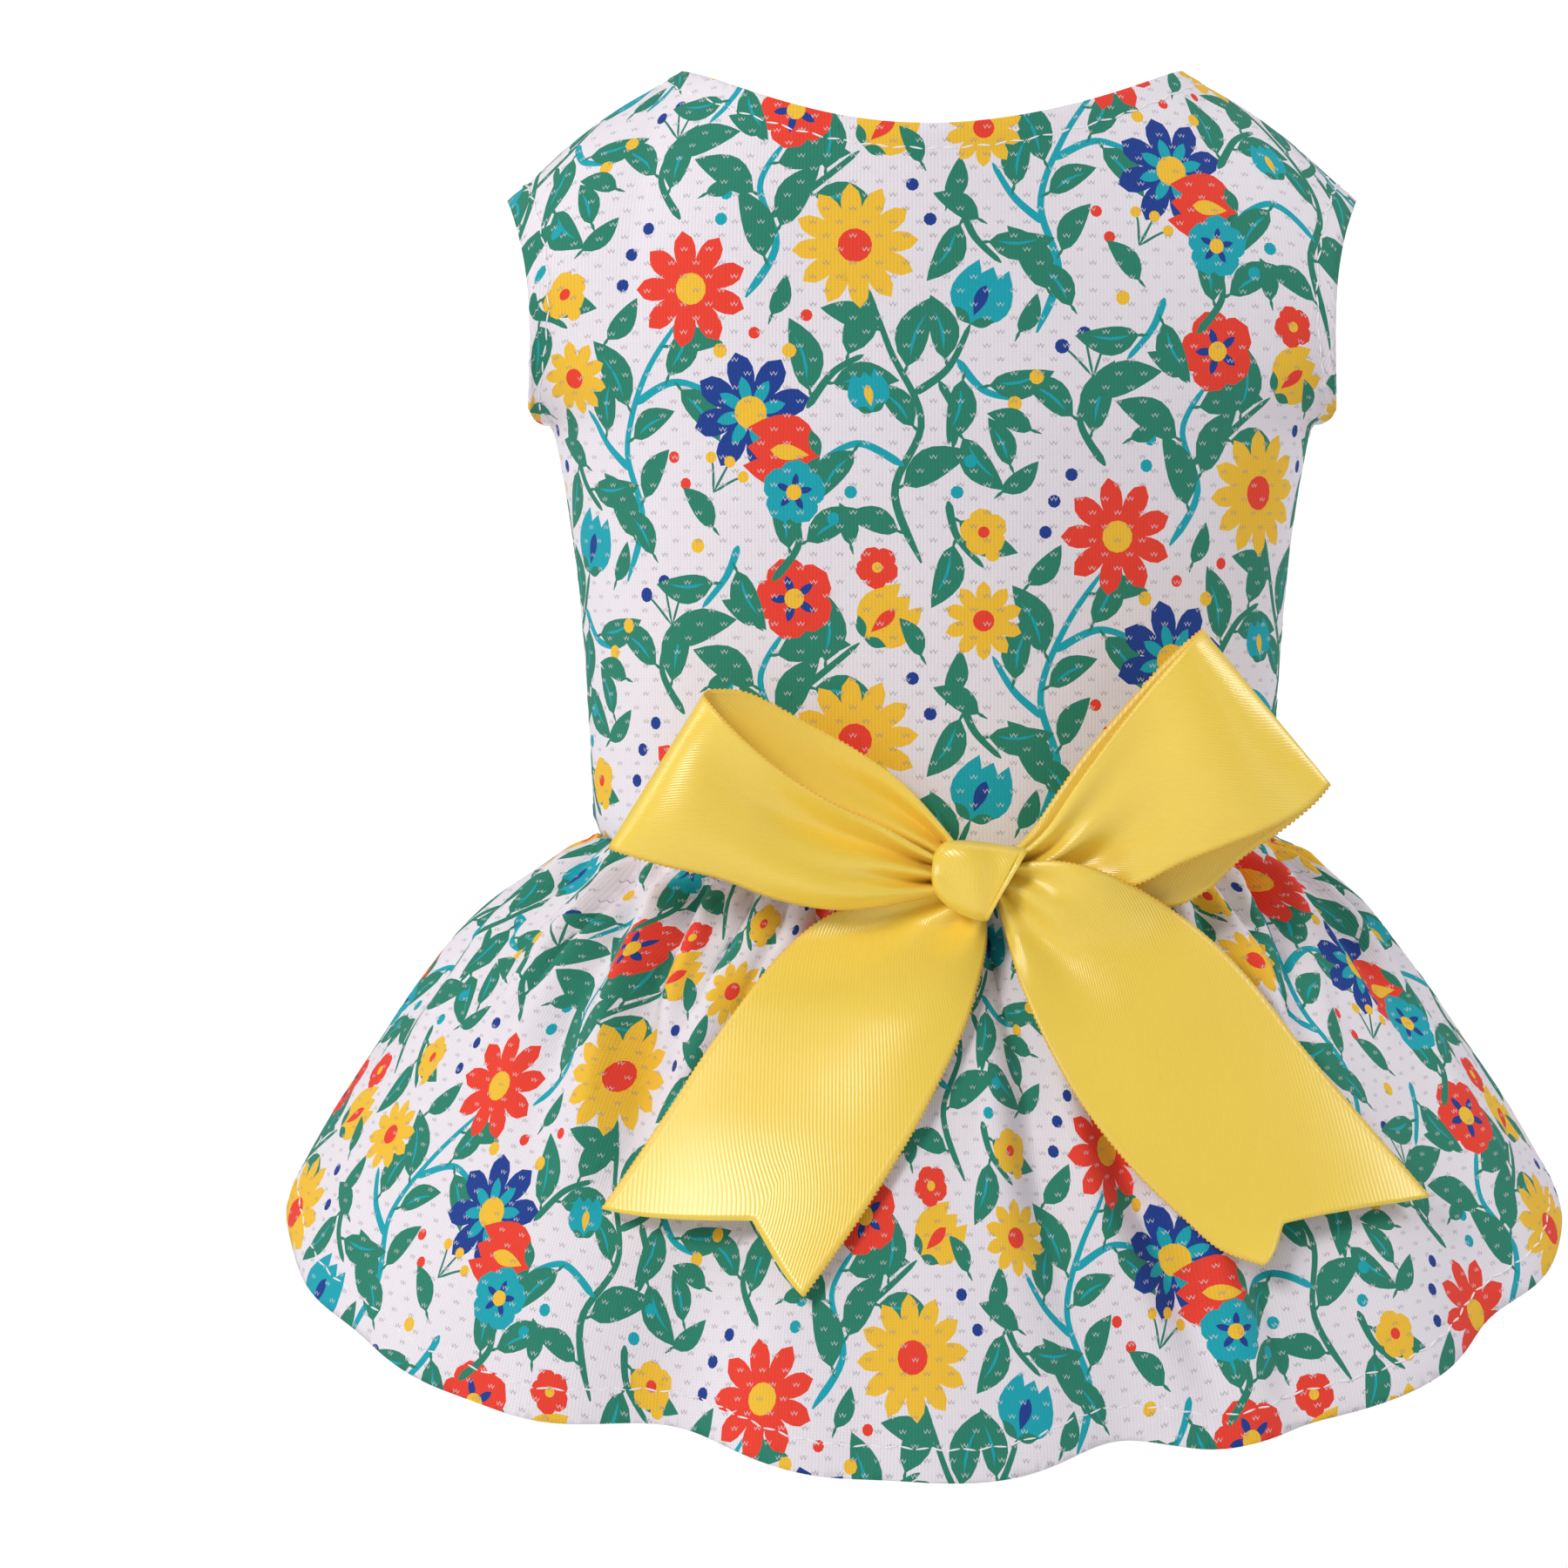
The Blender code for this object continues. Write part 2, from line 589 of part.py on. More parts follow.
def skirt(material):
    """The gathered skirt."""
    grid = skirt_grid()
    inner = []
    for row, line in zip(grid, grid_normals(grid, closed=True)):
        points = []
        for point, normal in zip(row, line):
            outwards = normal if normal.dot(Vector((point.x, point.y, 0))) > 0 else -normal
            if row is grid[0]:
                outwards = Vector((outwards.x, outwards.y, 0)).normalized()
            points.append(point - outwards * CLOTH_THICKNESS)
        inner.append(points)
    return bound_body("skirt", (grid, inner), True, material)


def ribbon(name, grid, roots, material):
    """A ribbon of even thickness behind a grid of points that starts on its outer face.

    roots are the numbers of the rows at the knot, where the ribbon's cut edge is kept square to it.
    """
    normals = grid_normals(grid, closed=False)
    middle = len(grid[0]) // 2
    sign = -1 if normals[1][middle].y > 0 else 1
    for number in roots:
        across = (grid[number][-1] - grid[number][0]).normalized()
        square = Vector((0, 1, 0)) - across * across.y
        square = square.normalized() * math.copysign(1, normals[number][middle].y)
        normals[number] = [square] * len(grid[number])
    inner = [
        [point - normal * (sign * RIBBON_THICKNESS) for point, normal in zip(row, line)]
        for row, line in zip(grid, normals)
    ]
    return bound_body(name, (grid, inner), False, material)


def knot(material):
    """The knot: rings joined into one closed body."""
    mesh_data = bmesh.new()
    rings = [[mesh_data.verts.new(p) for p in ring] for ring in knot_rings()]
    for low, high in zip(rings, rings[1:]):
        for side in range(KNOT_SIDES):
            after = (side + 1) % KNOT_SIDES
            mesh_data.faces.new((low[side], low[after], high[after], high[side]))
    mesh_data.faces.new(rings[0])
    mesh_data.faces.new(rings[-1])
    return finish_body("bow_knot", mesh_data, material)


def material(name, colour, roughness):
    """A plain Principled material."""
    made = bpy.data.materials.new(name)
    made.use_nodes = True
    shader = made.node_tree.nodes["Principled BSDF"]
    shader.inputs["Base Color"].default_value = (*colour, 1.0)
    shader.inputs["Roughness"].default_value = roughness
    shader.inputs["Metallic"].default_value = 0.0
    made.diffuse_color = (*colour, 1.0)
    return made


def build():
    """Makes every piece of the dress."""
    for old in list(bpy.data.objects):
        bpy.data.objects.remove(old, do_unlink=True)
    cloth = material("printed_knit", (0.86, 0.80, 0.84), 0.85)
    satin = material("yellow_satin", (0.90, 0.56, 0.06), 0.35)
    panel("back_panel", -1, cloth)
    panel("belly_panel", 1, cloth)
    skirt(cloth)
    knot(satin)
    for lay in LOOP_LAYS:
        ribbon(lay.name, loop_grid(lay), (0, -1), satin)
    for lay in TAIL_LAYS:
        ribbon(lay.name, tail_grid(lay), (0,), satin)


build()
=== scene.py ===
# %% [markdown]
# # A dog dress: printed knit cloth, a gathered skirt and a satin bow
#
# The dress is shown as it stands when it is worn. Two bodice panels meet at the shoulders and
# sides, a gathered skirt hangs from the waist seam, and a ribbon bow is sewn on over the seam.
# The frame that is loaded first holds the plain solids of these pieces. Each one is replaced here
# by real cloth in the same place: thin, printed, hemmed, stitched and creased.
#
# Cloth is a flat thing before it is a round one. So every cloth piece is first drawn flat, in
# real millimetres, as on a cutting table, and a surface function then says where each flat point
# goes on the dress. The print, the stitches and the hems are all placed on the flat cloth.

import math
from collections import namedtuple

import bpy
import numpy as np
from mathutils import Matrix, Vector, noise
from mathutils.geometry import delaunay_2d_cdt


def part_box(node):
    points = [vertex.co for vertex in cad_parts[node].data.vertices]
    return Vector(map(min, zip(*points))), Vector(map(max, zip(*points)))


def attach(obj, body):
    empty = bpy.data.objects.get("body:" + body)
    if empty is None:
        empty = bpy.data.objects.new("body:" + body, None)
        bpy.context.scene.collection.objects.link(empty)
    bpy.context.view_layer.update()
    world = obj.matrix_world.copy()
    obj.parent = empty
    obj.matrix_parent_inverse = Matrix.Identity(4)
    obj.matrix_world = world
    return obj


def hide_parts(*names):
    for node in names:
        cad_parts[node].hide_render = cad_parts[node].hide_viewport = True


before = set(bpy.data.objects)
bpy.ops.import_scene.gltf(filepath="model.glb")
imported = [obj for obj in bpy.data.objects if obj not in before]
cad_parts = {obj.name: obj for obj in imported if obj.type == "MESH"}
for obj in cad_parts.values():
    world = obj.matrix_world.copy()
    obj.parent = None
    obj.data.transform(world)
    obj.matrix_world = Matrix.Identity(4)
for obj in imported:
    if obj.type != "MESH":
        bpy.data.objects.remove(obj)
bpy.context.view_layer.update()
MM = 0.001
print("nodes:", ", ".join(sorted(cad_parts)))

# %% [markdown]
# ## Camera, light and backdrop
#
# The photograph looks straight at the dog's back from some way off, with next to no perspective,
# so the camera stands 5 m away with a very long lens. The picture is high-key: light comes from
# everywhere, a little more from the upper left. The floor lies below the frame. A strip of paper
# rises from it behind the dress in one sweep, so no horizon shows. The strip is only as wide and
# as high as the picture needs, so the dress can also be looked at from behind.

# %% Camera
FRAME_WIDTH = 306.0 * MM
CAMERA_DISTANCE = 5.0
CAMERA_X = -28.9 * MM
CAMERA_Z = -91.8 * MM
SENSOR_WIDTH = 36.0

bpy.ops.object.select_all(action="DESELECT")
bpy.ops.object.camera_add(location=(CAMERA_X, -CAMERA_DISTANCE, CAMERA_Z), rotation=(math.pi / 2, 0, 0))
camera = bpy.context.object
camera.data.sensor_width = SENSOR_WIDTH
camera.data.lens = SENSOR_WIDTH * CAMERA_DISTANCE / FRAME_WIDTH
bpy.context.scene.camera = camera
bpy.context.scene.view_settings.view_transform = "Standard"
print(f"camera: {camera.data.lens:.0f} mm lens, {CAMERA_DISTANCE} m away")

# %% Lights
Lamp = namedtuple("Lamp", "name place aim size watts colour")
LAMPS = (
    Lamp("key_light", (-1.35, -2.1, 1.2), (0, 0, CAMERA_Z), 1.0, 37.0, (1.0, 0.985, 0.965)),
    Lamp("fill_light", (1.7, -2.0, 0.1), (0, 0, CAMERA_Z), 1.4, 5.0, (0.96, 0.97, 1.0)),
    Lamp("top_light", (0.3, 0.1, 1.7), (0, 0, CAMERA_Z), 1.0, 4.0, (1.0, 1.0, 1.0)),
    Lamp("left_backdrop_light", (-0.9, 0.1, 0.5), (-0.4, 0.75, 0.1), 0.6, 4.5, (1.0, 1.0, 1.0)),
    Lamp("right_backdrop_light", (0.9, 0.1, 0.5), (0.4, 0.75, 0.1), 0.6, 5.5, (1.0, 1.0, 1.0)),
)
WORLD_COLOUR = (0.95, 0.95, 1.0, 1.0)
WORLD_STRENGTH = 0.24

for lamp in LAMPS:
    away = Vector(lamp.aim) - Vector(lamp.place)
    bpy.ops.object.light_add(type="AREA", location=lamp.place, rotation=away.to_track_quat("-Z", "Y").to_euler())
    light = bpy.context.object
    light.name = lamp.name
    light.data.shape = "DISK"
    light.data.size = lamp.size
    light.data.energy = lamp.watts
    light.data.color = lamp.colour
world = bpy.data.worlds.new("studio")
world.use_nodes = True
world.node_tree.nodes["Background"].inputs["Color"].default_value = WORLD_COLOUR
world.node_tree.nodes["Background"].inputs["Strength"].default_value = WORLD_STRENGTH
bpy.context.scene.world = world
print("lights:", ", ".join(lamp.name for lamp in LAMPS))

# %% Floor and paper backdrop
FLOOR_Z = -0.32
FLOOR_SIZE = 12.0
PAPER_WIDTH = 0.50
PAPER_TOP_Z = 0.12
PAPER_Y = 0.75
SWEEP_RADIUS = 0.4
SWEEP_STEPS = 12
SWEEP_START_Y = PAPER_Y - SWEEP_RADIUS

paper = bpy.data.materials.new("studio_paper")
paper.use_nodes = True
paper.node_tree.nodes["Principled BSDF"].inputs["Base Color"].default_value = (0.93, 0.93, 0.94, 1.0)
paper.node_tree.nodes["Principled BSDF"].inputs["Roughness"].default_value = 0.9

bpy.ops.object.select_all(action="DESELECT")
bpy.ops.mesh.primitive_plane_add(size=FLOOR_SIZE, location=(0, 0, FLOOR_Z - 1 * MM))
floor = bpy.context.object
floor.name = "studio_floor"

bpy.ops.object.select_all(action="DESELECT")
bpy.ops.mesh.primitive_plane_add(
    size=PAPER_WIDTH, location=(CAMERA_X, SWEEP_START_Y - PAPER_WIDTH / 2, FLOOR_Z)
)
backdrop = bpy.context.object
backdrop.name = "paper_backdrop"
bpy.ops.object.transform_apply(location=True, rotation=True, scale=True)
for face in backdrop.data.polygons:
    face.select = False
for edge in backdrop.data.edges:
    ends = [backdrop.data.vertices[v].co for v in edge.vertices]
    edge.select = all(end.y > SWEEP_START_Y - 1 * MM for end in ends)
for vertex in backdrop.data.vertices:
    vertex.select = vertex.co.y > SWEEP_START_Y - 1 * MM
bpy.ops.object.mode_set(mode="EDIT")
for step in range(SWEEP_STEPS):
    angle = math.pi / 2 * (step + 0.5) / SWEEP_STEPS
    length = SWEEP_RADIUS * math.pi / 2 / SWEEP_STEPS
    move = (0, length * math.cos(angle), length * math.sin(angle))
    bpy.ops.mesh.extrude_edges_move(TRANSFORM_OT_translate={"value": move})
rise = PAPER_TOP_Z - FLOOR_Z - SWEEP_RADIUS
bpy.ops.mesh.extrude_edges_move(TRANSFORM_OT_translate={"value": (0, 0, rise)})
bpy.ops.object.mode_set(mode="OBJECT")
bpy.ops.object.shade_smooth()

for stage in (floor, backdrop):
    stage.data.materials.append(paper)
print(f"backdrop: {len(backdrop.data.polygons)} faces, {PAPER_WIDTH} m wide")

# %% [markdown]
# ## Where the cloth goes: the bodice
#
# The bodice is an oval tube that narrows to the waist and closes over the shoulders. One function
# gives a point of a panel from two shares: across, from one side seam to the other, and rise,
# from the waist past the foot of the leg holes to the neckline. These are the sizes of the solids,
# so cloth and solid agree.

# %% Sizes of the bodice
CHEST_WIDTH = 149.0 * MM
CHEST_DEPTH = 92.0 * MM
WAIST_WIDTH = 133.0 * MM
WAIST_DEPTH = 82.0 * MM
CHEST_SWELL = 2.2
WAIST_BELOW_ORIGIN = 101.0 * MM
WAIST_DIP_AT_BACK = 15.0 * MM
WAIST_RISE_AT_BELLY = 5.0 * MM
NECK_WIDTH = 98.0 * MM
NECK_DEPTH = 74.0 * MM
NECK_HEIGHT = 47.0 * MM
NECK_DIPS = {-1: 10.8 * MM, 1: 18.0 * MM}
NECK_DIP_ROUNDNESS = 2.4
SHOULDER_WIDTH = 165.4 * MM
SHOULDER_BOW = 1.8 * MM
SHOULDER_ROLL_REACH = 0.8
LEG_HOLE_HEIGHT = 44.0 * MM
LEG_HOLE_WIDTH = 44.0 * MM
LEG_HOLE_FLARE = 3.8 * MM
LEG_HOLE_FLARE_RISE = 0.16


def mix(low, high, share):
    """The value that lies share of the way from low to high."""
    return low + (high - low) * share


def ease(share):
    """A smooth step from 0 to 1."""
    share = np.clip(share, 0.0, 1.0)
    return share * share * (3 - 2 * share)


def waist_height(turn):
    """Height of the waist seam, which hangs lower over the back."""
    middle = np.cos(turn)
    lower = WAIST_DIP_AT_BACK * np.maximum(middle, 0) ** 2
    higher = WAIST_RISE_AT_BELLY * np.minimum(middle, 0) ** 2
    return higher - lower - WAIST_BELOW_ORIGIN


def bodice_point(facing, across, rise):
    """Points of a panel. Facing is -1 for the back and 1 for the belly, across runs from -1 to 1, rise from 0 to 2."""
    side = np.abs(across)
    angle = side * math.pi / 2
    below = np.clip(rise, 0, 1)
    up = np.clip(rise - 1, 0, 1)
    swell = below**CHEST_SWELL
    low_x = mix(WAIST_WIDTH, CHEST_WIDTH, swell) / 2 * np.sin(angle)
    low_y = mix(WAIST_DEPTH, CHEST_DEPTH, swell) / 2 * np.cos(angle) * facing
    seam = waist_height(angle if facing < 0 else math.pi - angle)
    low_z = mix(seam, -LEG_HOLE_HEIGHT / 2, below)
    neck_share = NECK_WIDTH / SHOULDER_WIDTH
    neck_angle = np.minimum(side / neck_share, 1) * math.pi / 2
    outwards = np.clip((side - neck_share) / (1 - neck_share), 0, 1)
    on_neck = side <= neck_share
    top_x = np.where(on_neck, NECK_WIDTH * np.sin(neck_angle), mix(NECK_WIDTH, SHOULDER_WIDTH, outwards)) / 2
    top_y = facing * NECK_DEPTH / 2 * np.cos(neck_angle)
    dip = NECK_DIPS[facing] * np.abs(np.cos(neck_angle)) ** NECK_DIP_ROUNDNESS
    slope = mix(NECK_HEIGHT, LEG_HOLE_HEIGHT / 2, outwards) + SHOULDER_BOW * np.sin(math.pi * outwards)
    top_z = np.where(on_neck, NECK_HEIGHT - dip, slope)
    rolled = ease(side / SHOULDER_ROLL_REACH)
    inwards = mix(up**1.5, 1 - np.cos(up * math.pi / 2), rolled)
    upwards = mix(up, np.sin(up * math.pi / 2), rolled)
    foot = CHEST_WIDTH / 2
    tip = SHOULDER_WIDTH / 2
    proud = LEG_HOLE_FLARE * ease(up / LEG_HOLE_FLARE_RISE)
    hole_x = mix(foot + proud, tip, np.maximum(0, -np.cos(math.pi * up)) ** 2)
    hole_y = facing * LEG_HOLE_WIDTH / 2 * np.sin(math.pi * up)
    hole_z = -LEG_HOLE_HEIGHT / 2 * np.cos(math.pi * up)
    plain_x = mix(foot, tip, 1 - np.cos(up * math.pi / 2))
    plain_z = mix(-LEG_HOLE_HEIGHT / 2, LEG_HOLE_HEIGHT / 2, np.sin(up * math.pi / 2))
    x = mix(low_x, top_x, inwards) + (hole_x - plain_x) * side**2
    y = mix(low_y, top_y, inwards) + hole_y * side**2
    z = mix(low_z, top_z, upwards) + (hole_z - plain_z) * side**2
    return np.stack([x * np.sign(across), y, z], axis=-1)


print("bodice sides at the chest:", bodice_point(-1, np.array([-1.0, 1.0]), np.array([1.0, 1.0])).round(4).tolist())

# %% [markdown]
# ## Flattening a panel
#
# To draw a print on a panel, its flat shape is needed. A table of the panel's points is unrolled:
# sideways steps are measured along the cloth level with the floor, and upward steps take the rest
# of each step's length. Reading the table the other way round, from a flat point back to its
# shares, is done by a few rounds of Newton's method.

# %% Flat tables of the two panels
TABLE_ROWS = 161
TABLE_COLUMNS = 121
NEWTON_ROUNDS = 24
NEWTON_LONGEST = 12.0


def flat_table(facing):
    """Flat right and up of each point of a panel's table, in metres."""
    across, rise = np.meshgrid(np.linspace(-1, 1, TABLE_COLUMNS), np.linspace(0, 2, TABLE_ROWS))
    points = bodice_point(facing, across, rise)
    level = np.linalg.norm(np.diff(points[..., :2], axis=1), axis=2)
    right = np.concatenate([np.zeros((TABLE_ROWS, 1)), np.cumsum(level, axis=1)], axis=1)
    right -= right[:, TABLE_COLUMNS // 2 : TABLE_COLUMNS // 2 + 1]
    length = np.linalg.norm(np.diff(points, axis=0), axis=2)
    upward = np.sqrt(np.maximum(length**2 - np.diff(right, axis=0) ** 2, (0.2 * length) ** 2))
    up = points[:1, :, 2] + np.concatenate([np.zeros((1, TABLE_COLUMNS)), np.cumsum(upward, axis=0)])
    return right, up


def find_on_table(table, flat):
    """Rows and columns, with their fractions, at which a flat table reads these flat points."""
    right, up = table
    row = np.full(len(flat), TABLE_ROWS / 2)
    column = np.full(len(flat), TABLE_COLUMNS / 2)
    for _ in range(NEWTON_ROUNDS):
        r = np.clip(row.astype(int), 0, TABLE_ROWS - 2)
        c = np.clip(column.astype(int), 0, TABLE_COLUMNS - 2)
        part_r, part_c = row - r, column - c
        reads = []
        for sheet in (right, up):
            low, high = sheet[r, c], sheet[r + 1, c]
            low_next, high_next = sheet[r, c + 1], sheet[r + 1, c + 1]
            value = mix(mix(low, low_next, part_c), mix(high, high_next, part_c), part_r)
            reads.append((value, mix(high - low, high_next - low_next, part_c), mix(low_next - low, high_next - high, part_r)))
        (u, u_row, u_column), (v, v_row, v_column) = reads
        miss_u, miss_v = flat[:, 0] - u, flat[:, 1] - v
        area = u_row * v_column - u_column * v_row
        area = np.where(np.abs(area) < 1e-12, -1e-12, area)
        step_row = (miss_u * v_column - u_column * miss_v) / area
        step_column = (u_row * miss_v - miss_u * v_row) / area
        row = np.clip(row + np.clip(step_row, -NEWTON_LONGEST, NEWTON_LONGEST), 0, TABLE_ROWS - 1)
        column = np.clip(column + np.clip(step_column, -NEWTON_LONGEST, NEWTON_LONGEST), 0, TABLE_COLUMNS - 1)
    return row, column


FLAT_TABLES = {facing: flat_table(facing) for facing in (-1, 1)}
for facing, (right, up) in FLAT_TABLES.items():
    print(f"panel {facing}: flat {1000 * np.ptp(right):.0f} x {1000 * np.ptp(up):.0f} mm")

# %% [markdown]
# ## Where the cloth goes: the skirt
#
# The skirt is a long flat strip, pushed together along its top edge until it fits the waist. The
# spare cloth has to go somewhere: at the seam it stands up in narrow round gathers with sharp
# valleys between them, lower down they die away one after another, and a few broad folds run on to
# the hem. A simulation would find such folds by itself, but not the photograph's, so they are
# drawn here as a sum of smooth waves.

# %% Sizes of the skirt
HEM_WIDTH = 249.0 * MM
HEM_REACH_AT_BACK = 84.0 * MM
HEM_REACH_AT_BELLY = 76.0 * MM
SKIRT_LENGTH_AT_SIDE = 74.6 * MM
HEM_DROP_AT_BACK = 50.6 * MM
HEM_RISE_AT_BELLY = 24.0 * MM
SKIRT_SWAY = 1.4 * MM
SWAY_END = 0.3
SKIRT_SPREADS = (0.0, 0.31, 0.535, 0.715, 0.88, 1.0)
FOLD_DEPTH = 10.0 * MM
FOLD_GROWTH = 0.8
Fold = namedtuple("Fold", "turn_deg depth half_width_deg")
FOLDS = (
    Fold(turn_deg=-152, depth=-0.55, half_width_deg=13),
    Fold(turn_deg=-124, depth=-0.70, half_width_deg=12),
    Fold(turn_deg=-102, depth=-0.30, half_width_deg=7),
    Fold(turn_deg=-64, depth=-0.15, half_width_deg=6),
    Fold(turn_deg=-45, depth=-0.10, half_width_deg=5),
    Fold(turn_deg=-25, depth=-1.10, half_width_deg=10),
    Fold(turn_deg=-4, depth=-0.10, half_width_deg=5),
    Fold(turn_deg=18, depth=-0.95, half_width_deg=7),
    Fold(turn_deg=37, depth=-0.20, half_width_deg=6),
    Fold(turn_deg=66, depth=-0.50, half_width_deg=8),
    Fold(turn_deg=104, depth=-0.45, half_width_deg=9),
    Fold(turn_deg=128, depth=-0.65, half_width_deg=11),
    Fold(turn_deg=157, depth=-0.60, half_width_deg=13),
)


def smooth_read(rows, share):
    """Values read from a smooth curve through evenly spaced rows, from the first (0) to the last (1)."""
    rows = np.asarray(rows, float)
    place = np.clip(np.asarray(share, float), 0, 1) * (len(rows) - 1)
    first = np.minimum(place.astype(int), len(rows) - 2)
    step = place - first
    if rows.ndim > 1:
        step = step[..., None]
    a = rows[np.maximum(first - 1, 0)]
    b, c = rows[first], rows[first + 1]
    d = rows[np.minimum(first + 2, len(rows) - 1)]
    slope, next_slope = (c - a) / 2, (d - b) / 2
    bend = 3 * (c - b) - 2 * slope - next_slope
    return b + slope * step + bend * step**2 + (2 * (b - c) + slope + next_slope) * step**3


def fold_depth(turn):
    """How far the broad folds push the hem outwards at a turn; below zero is inwards."""
    depth = np.zeros_like(turn)
    for fold in FOLDS:
        away = (np.degrees(turn) - fold.turn_deg + 180) % 360 - 180
        depth += fold.depth * np.exp(-((away / fold.half_width_deg) ** 2))
    return depth * FOLD_DEPTH


def hem_height(turn):
    """Height of the hem without folds."""
    middle = np.cos(turn)
    rise = HEM_RISE_AT_BELLY * (1 - np.exp(HEM_DROP_AT_BACK * np.minimum(middle, 0) / HEM_RISE_AT_BELLY))
    return rise - WAIST_BELOW_ORIGIN - SKIRT_LENGTH_AT_SIDE - HEM_DROP_AT_BACK * np.maximum(middle, 0)


def skirt_shape(turn, drop, folds=1.0):
    """Points of the skirt without its gathers, and the level direction out of it."""
    spread = smooth_read(SKIRT_SPREADS, drop)
    hem_reach = np.where(np.cos(turn) > 0, HEM_REACH_AT_BACK, HEM_REACH_AT_BELLY)
    half_width = mix(WAIST_WIDTH / 2, HEM_WIDTH / 2, spread)
    half_depth = mix(WAIST_DEPTH / 2, hem_reach, spread)
    sway = SKIRT_SWAY * ease(drop / SWAY_END)
    fold = fold_depth(turn) * folds
    lift = -fold * np.maximum(0, np.cos(turn)) * HEM_DROP_AT_BACK / HEM_REACH_AT_BACK
    out = np.stack([np.sin(turn) / half_width, -np.cos(turn) / half_depth, np.zeros_like(turn)], axis=-1)
    out /= np.linalg.norm(out, axis=-1, keepdims=True)
    height = mix(waist_height(turn), hem_height(turn) + lift, drop)
    point = np.stack([half_width * np.sin(turn) - sway, -half_depth * np.cos(turn), height], axis=-1)
    return point + out * (fold * drop**FOLD_GROWTH)[..., None], out


# %% Gathers
GATHER_COUNT = 46
GATHER_DEPTH = 4.4 * MM
RIPPLE_DEPTH = 1.8 * MM
VALLEY_SHARPNESS = 0.62


def ridges(phase):
    """Round ridges with sharp valleys between them, from -1 to 1."""
    return 2 * np.abs(np.cos(phase)) ** VALLEY_SHARPNESS - 1


# A drawn fold's turns in degrees at even steps from its first drop to its last, with its depth in millimetres
DrawnFold = namedtuple("DrawnFold", "turns first last depth half_width_deg")
DRAWN_FOLDS = (
    DrawnFold((-57, -51, -50, -48, -47), 0.0, 0.68, 3.6, 3.2),
    DrawnFold((-44, -40, -36.5, -36, -38.5), 0.0, 0.70, 5.2, 2.6),
    DrawnFold((-36, -34.5, -33, -32), 0.0, 0.45, 3.0, 1.8),
    DrawnFold((-68, -67, -66.5), 0.0, 0.50, 3.0, 3.0),
    DrawnFold((-84, -83, -86), 0.0, 0.60, 3.0, 3.0),
    DrawnFold((-12, -13, -15), 0.0, 0.50, 2.6, 2.6),
    DrawnFold((9, 6, 3, 1), 0.0, 0.62, 3.6, 3.0),
    DrawnFold((11.5, 12, 12.8, 14, 14.5), 0.0, 1.05, 4.6, 2.4),
    DrawnFold((22, 23.5, 26, 27, 23.5), 0.35, 1.10, 4.2, 2.2),
    DrawnFold((47, 44, 44.5), 0.0, 0.45, 3.6, 2.2),
    DrawnFold((63, 55, 50), 0.0, 0.46, 4.2, 2.6),
    DrawnFold((34.5, 35, 37.5), 0.60, 1.10, 3.0, 2.0),
    DrawnFold((74, 75, 75), 0.0, 0.60, 3.2, 3.0),
    DrawnFold((92, 94, 93), 0.0, 0.70, 3.4, 3.0),
    DrawnFold((118, 117, 120), 0.0, 0.80, 3.6, 3.4),
    DrawnFold((141, 143, 142), 0.0, 0.75, 3.6, 3.2),
    DrawnFold((168, 166, 169), 0.0, 0.80, 3.6, 3.4),
    DrawnFold((-160, -163, -162), 0.0, 0.80, 3.6, 3.4),
    DrawnFold((-136, -134, -137), 0.0, 0.75, 3.6, 3.2),
    DrawnFold((-110, -112, -111), 0.0, 0.80, 3.4, 3.2),
)
BANK_PLACE = 2.0
BANK_HEIGHT = 0.42


def drawn_folds(turn, drop):
    """The photograph's long folds: a narrow valley between two soft banks, in metres."""
    height = np.zeros_like(turn)
    for fold in DRAWN_FOLDS:
        share = (drop - fold.first) / (fold.last - fold.first)
        middle = smooth_read(fold.turns, share)
        away = ((np.degrees(turn) - middle + 180) % 360 - 180) / fold.half_width_deg
        banks = np.exp(-((np.abs(away) - BANK_PLACE) ** 2))
        fade = ease(1.6 * (1 - share)) * (ease(share / 0.25) if fold.first > 0 else 1.0)
        height += fold.depth * MM * fade * (BANK_HEIGHT * banks - np.exp(-(np.abs(away) ** 1.5)))
    return height


def gathers(turn, drop):
    """How far the gathers, folds and ripples stand out, in metres."""
    wander = 0.9 * np.sin(3 * turn + 0.7) + 0.7 * np.sin(8 * turn + 2.1) + 0.5 * np.sin(13 * turn + 4 * drop)
    fine = ridges(GATHER_COUNT / 2 * turn + wander)
    strength = 0.72 + 0.28 * np.sin(6 * turn + 1.3) * np.sin(11 * turn + 0.4)
    reach = 0.20 + 0.09 * np.sin(9 * turn + 0.3) + 0.05 * np.sin(17 * turn)
    growing = mix(0.35, 1.0, ease(drop / 0.05))
    near = fine * strength * growing * np.exp(-((drop / reach) ** 1.6))
    wide = np.cos(GATHER_COUNT / 2 * turn + wander + 1.1 * np.sin(5 * turn + 3 * drop))
    ripple = wide * ease(drop / 0.12) * np.exp(-((drop / 0.55) ** 2)) * (0.6 + 0.4 * np.sin(4 * turn + 2))
    soft = np.sin(19 * turn + 2.5 * np.sin(2 * turn) + 1.5 * drop) * ease(drop / 0.3) * mix(1.0, 0.55, drop)
    growing_out = ease(drop / 0.06)
    return GATHER_DEPTH * near + RIPPLE_DEPTH * (0.8 * ripple + 0.45 * soft) + drawn_folds(turn, drop) * growing_out


# %% Flat cloth of the skirt
SKIRT_CUT_WIDTH = 700.0 * MM
SKIRT_SAMPLES = 721
DROP_SAMPLES = 81

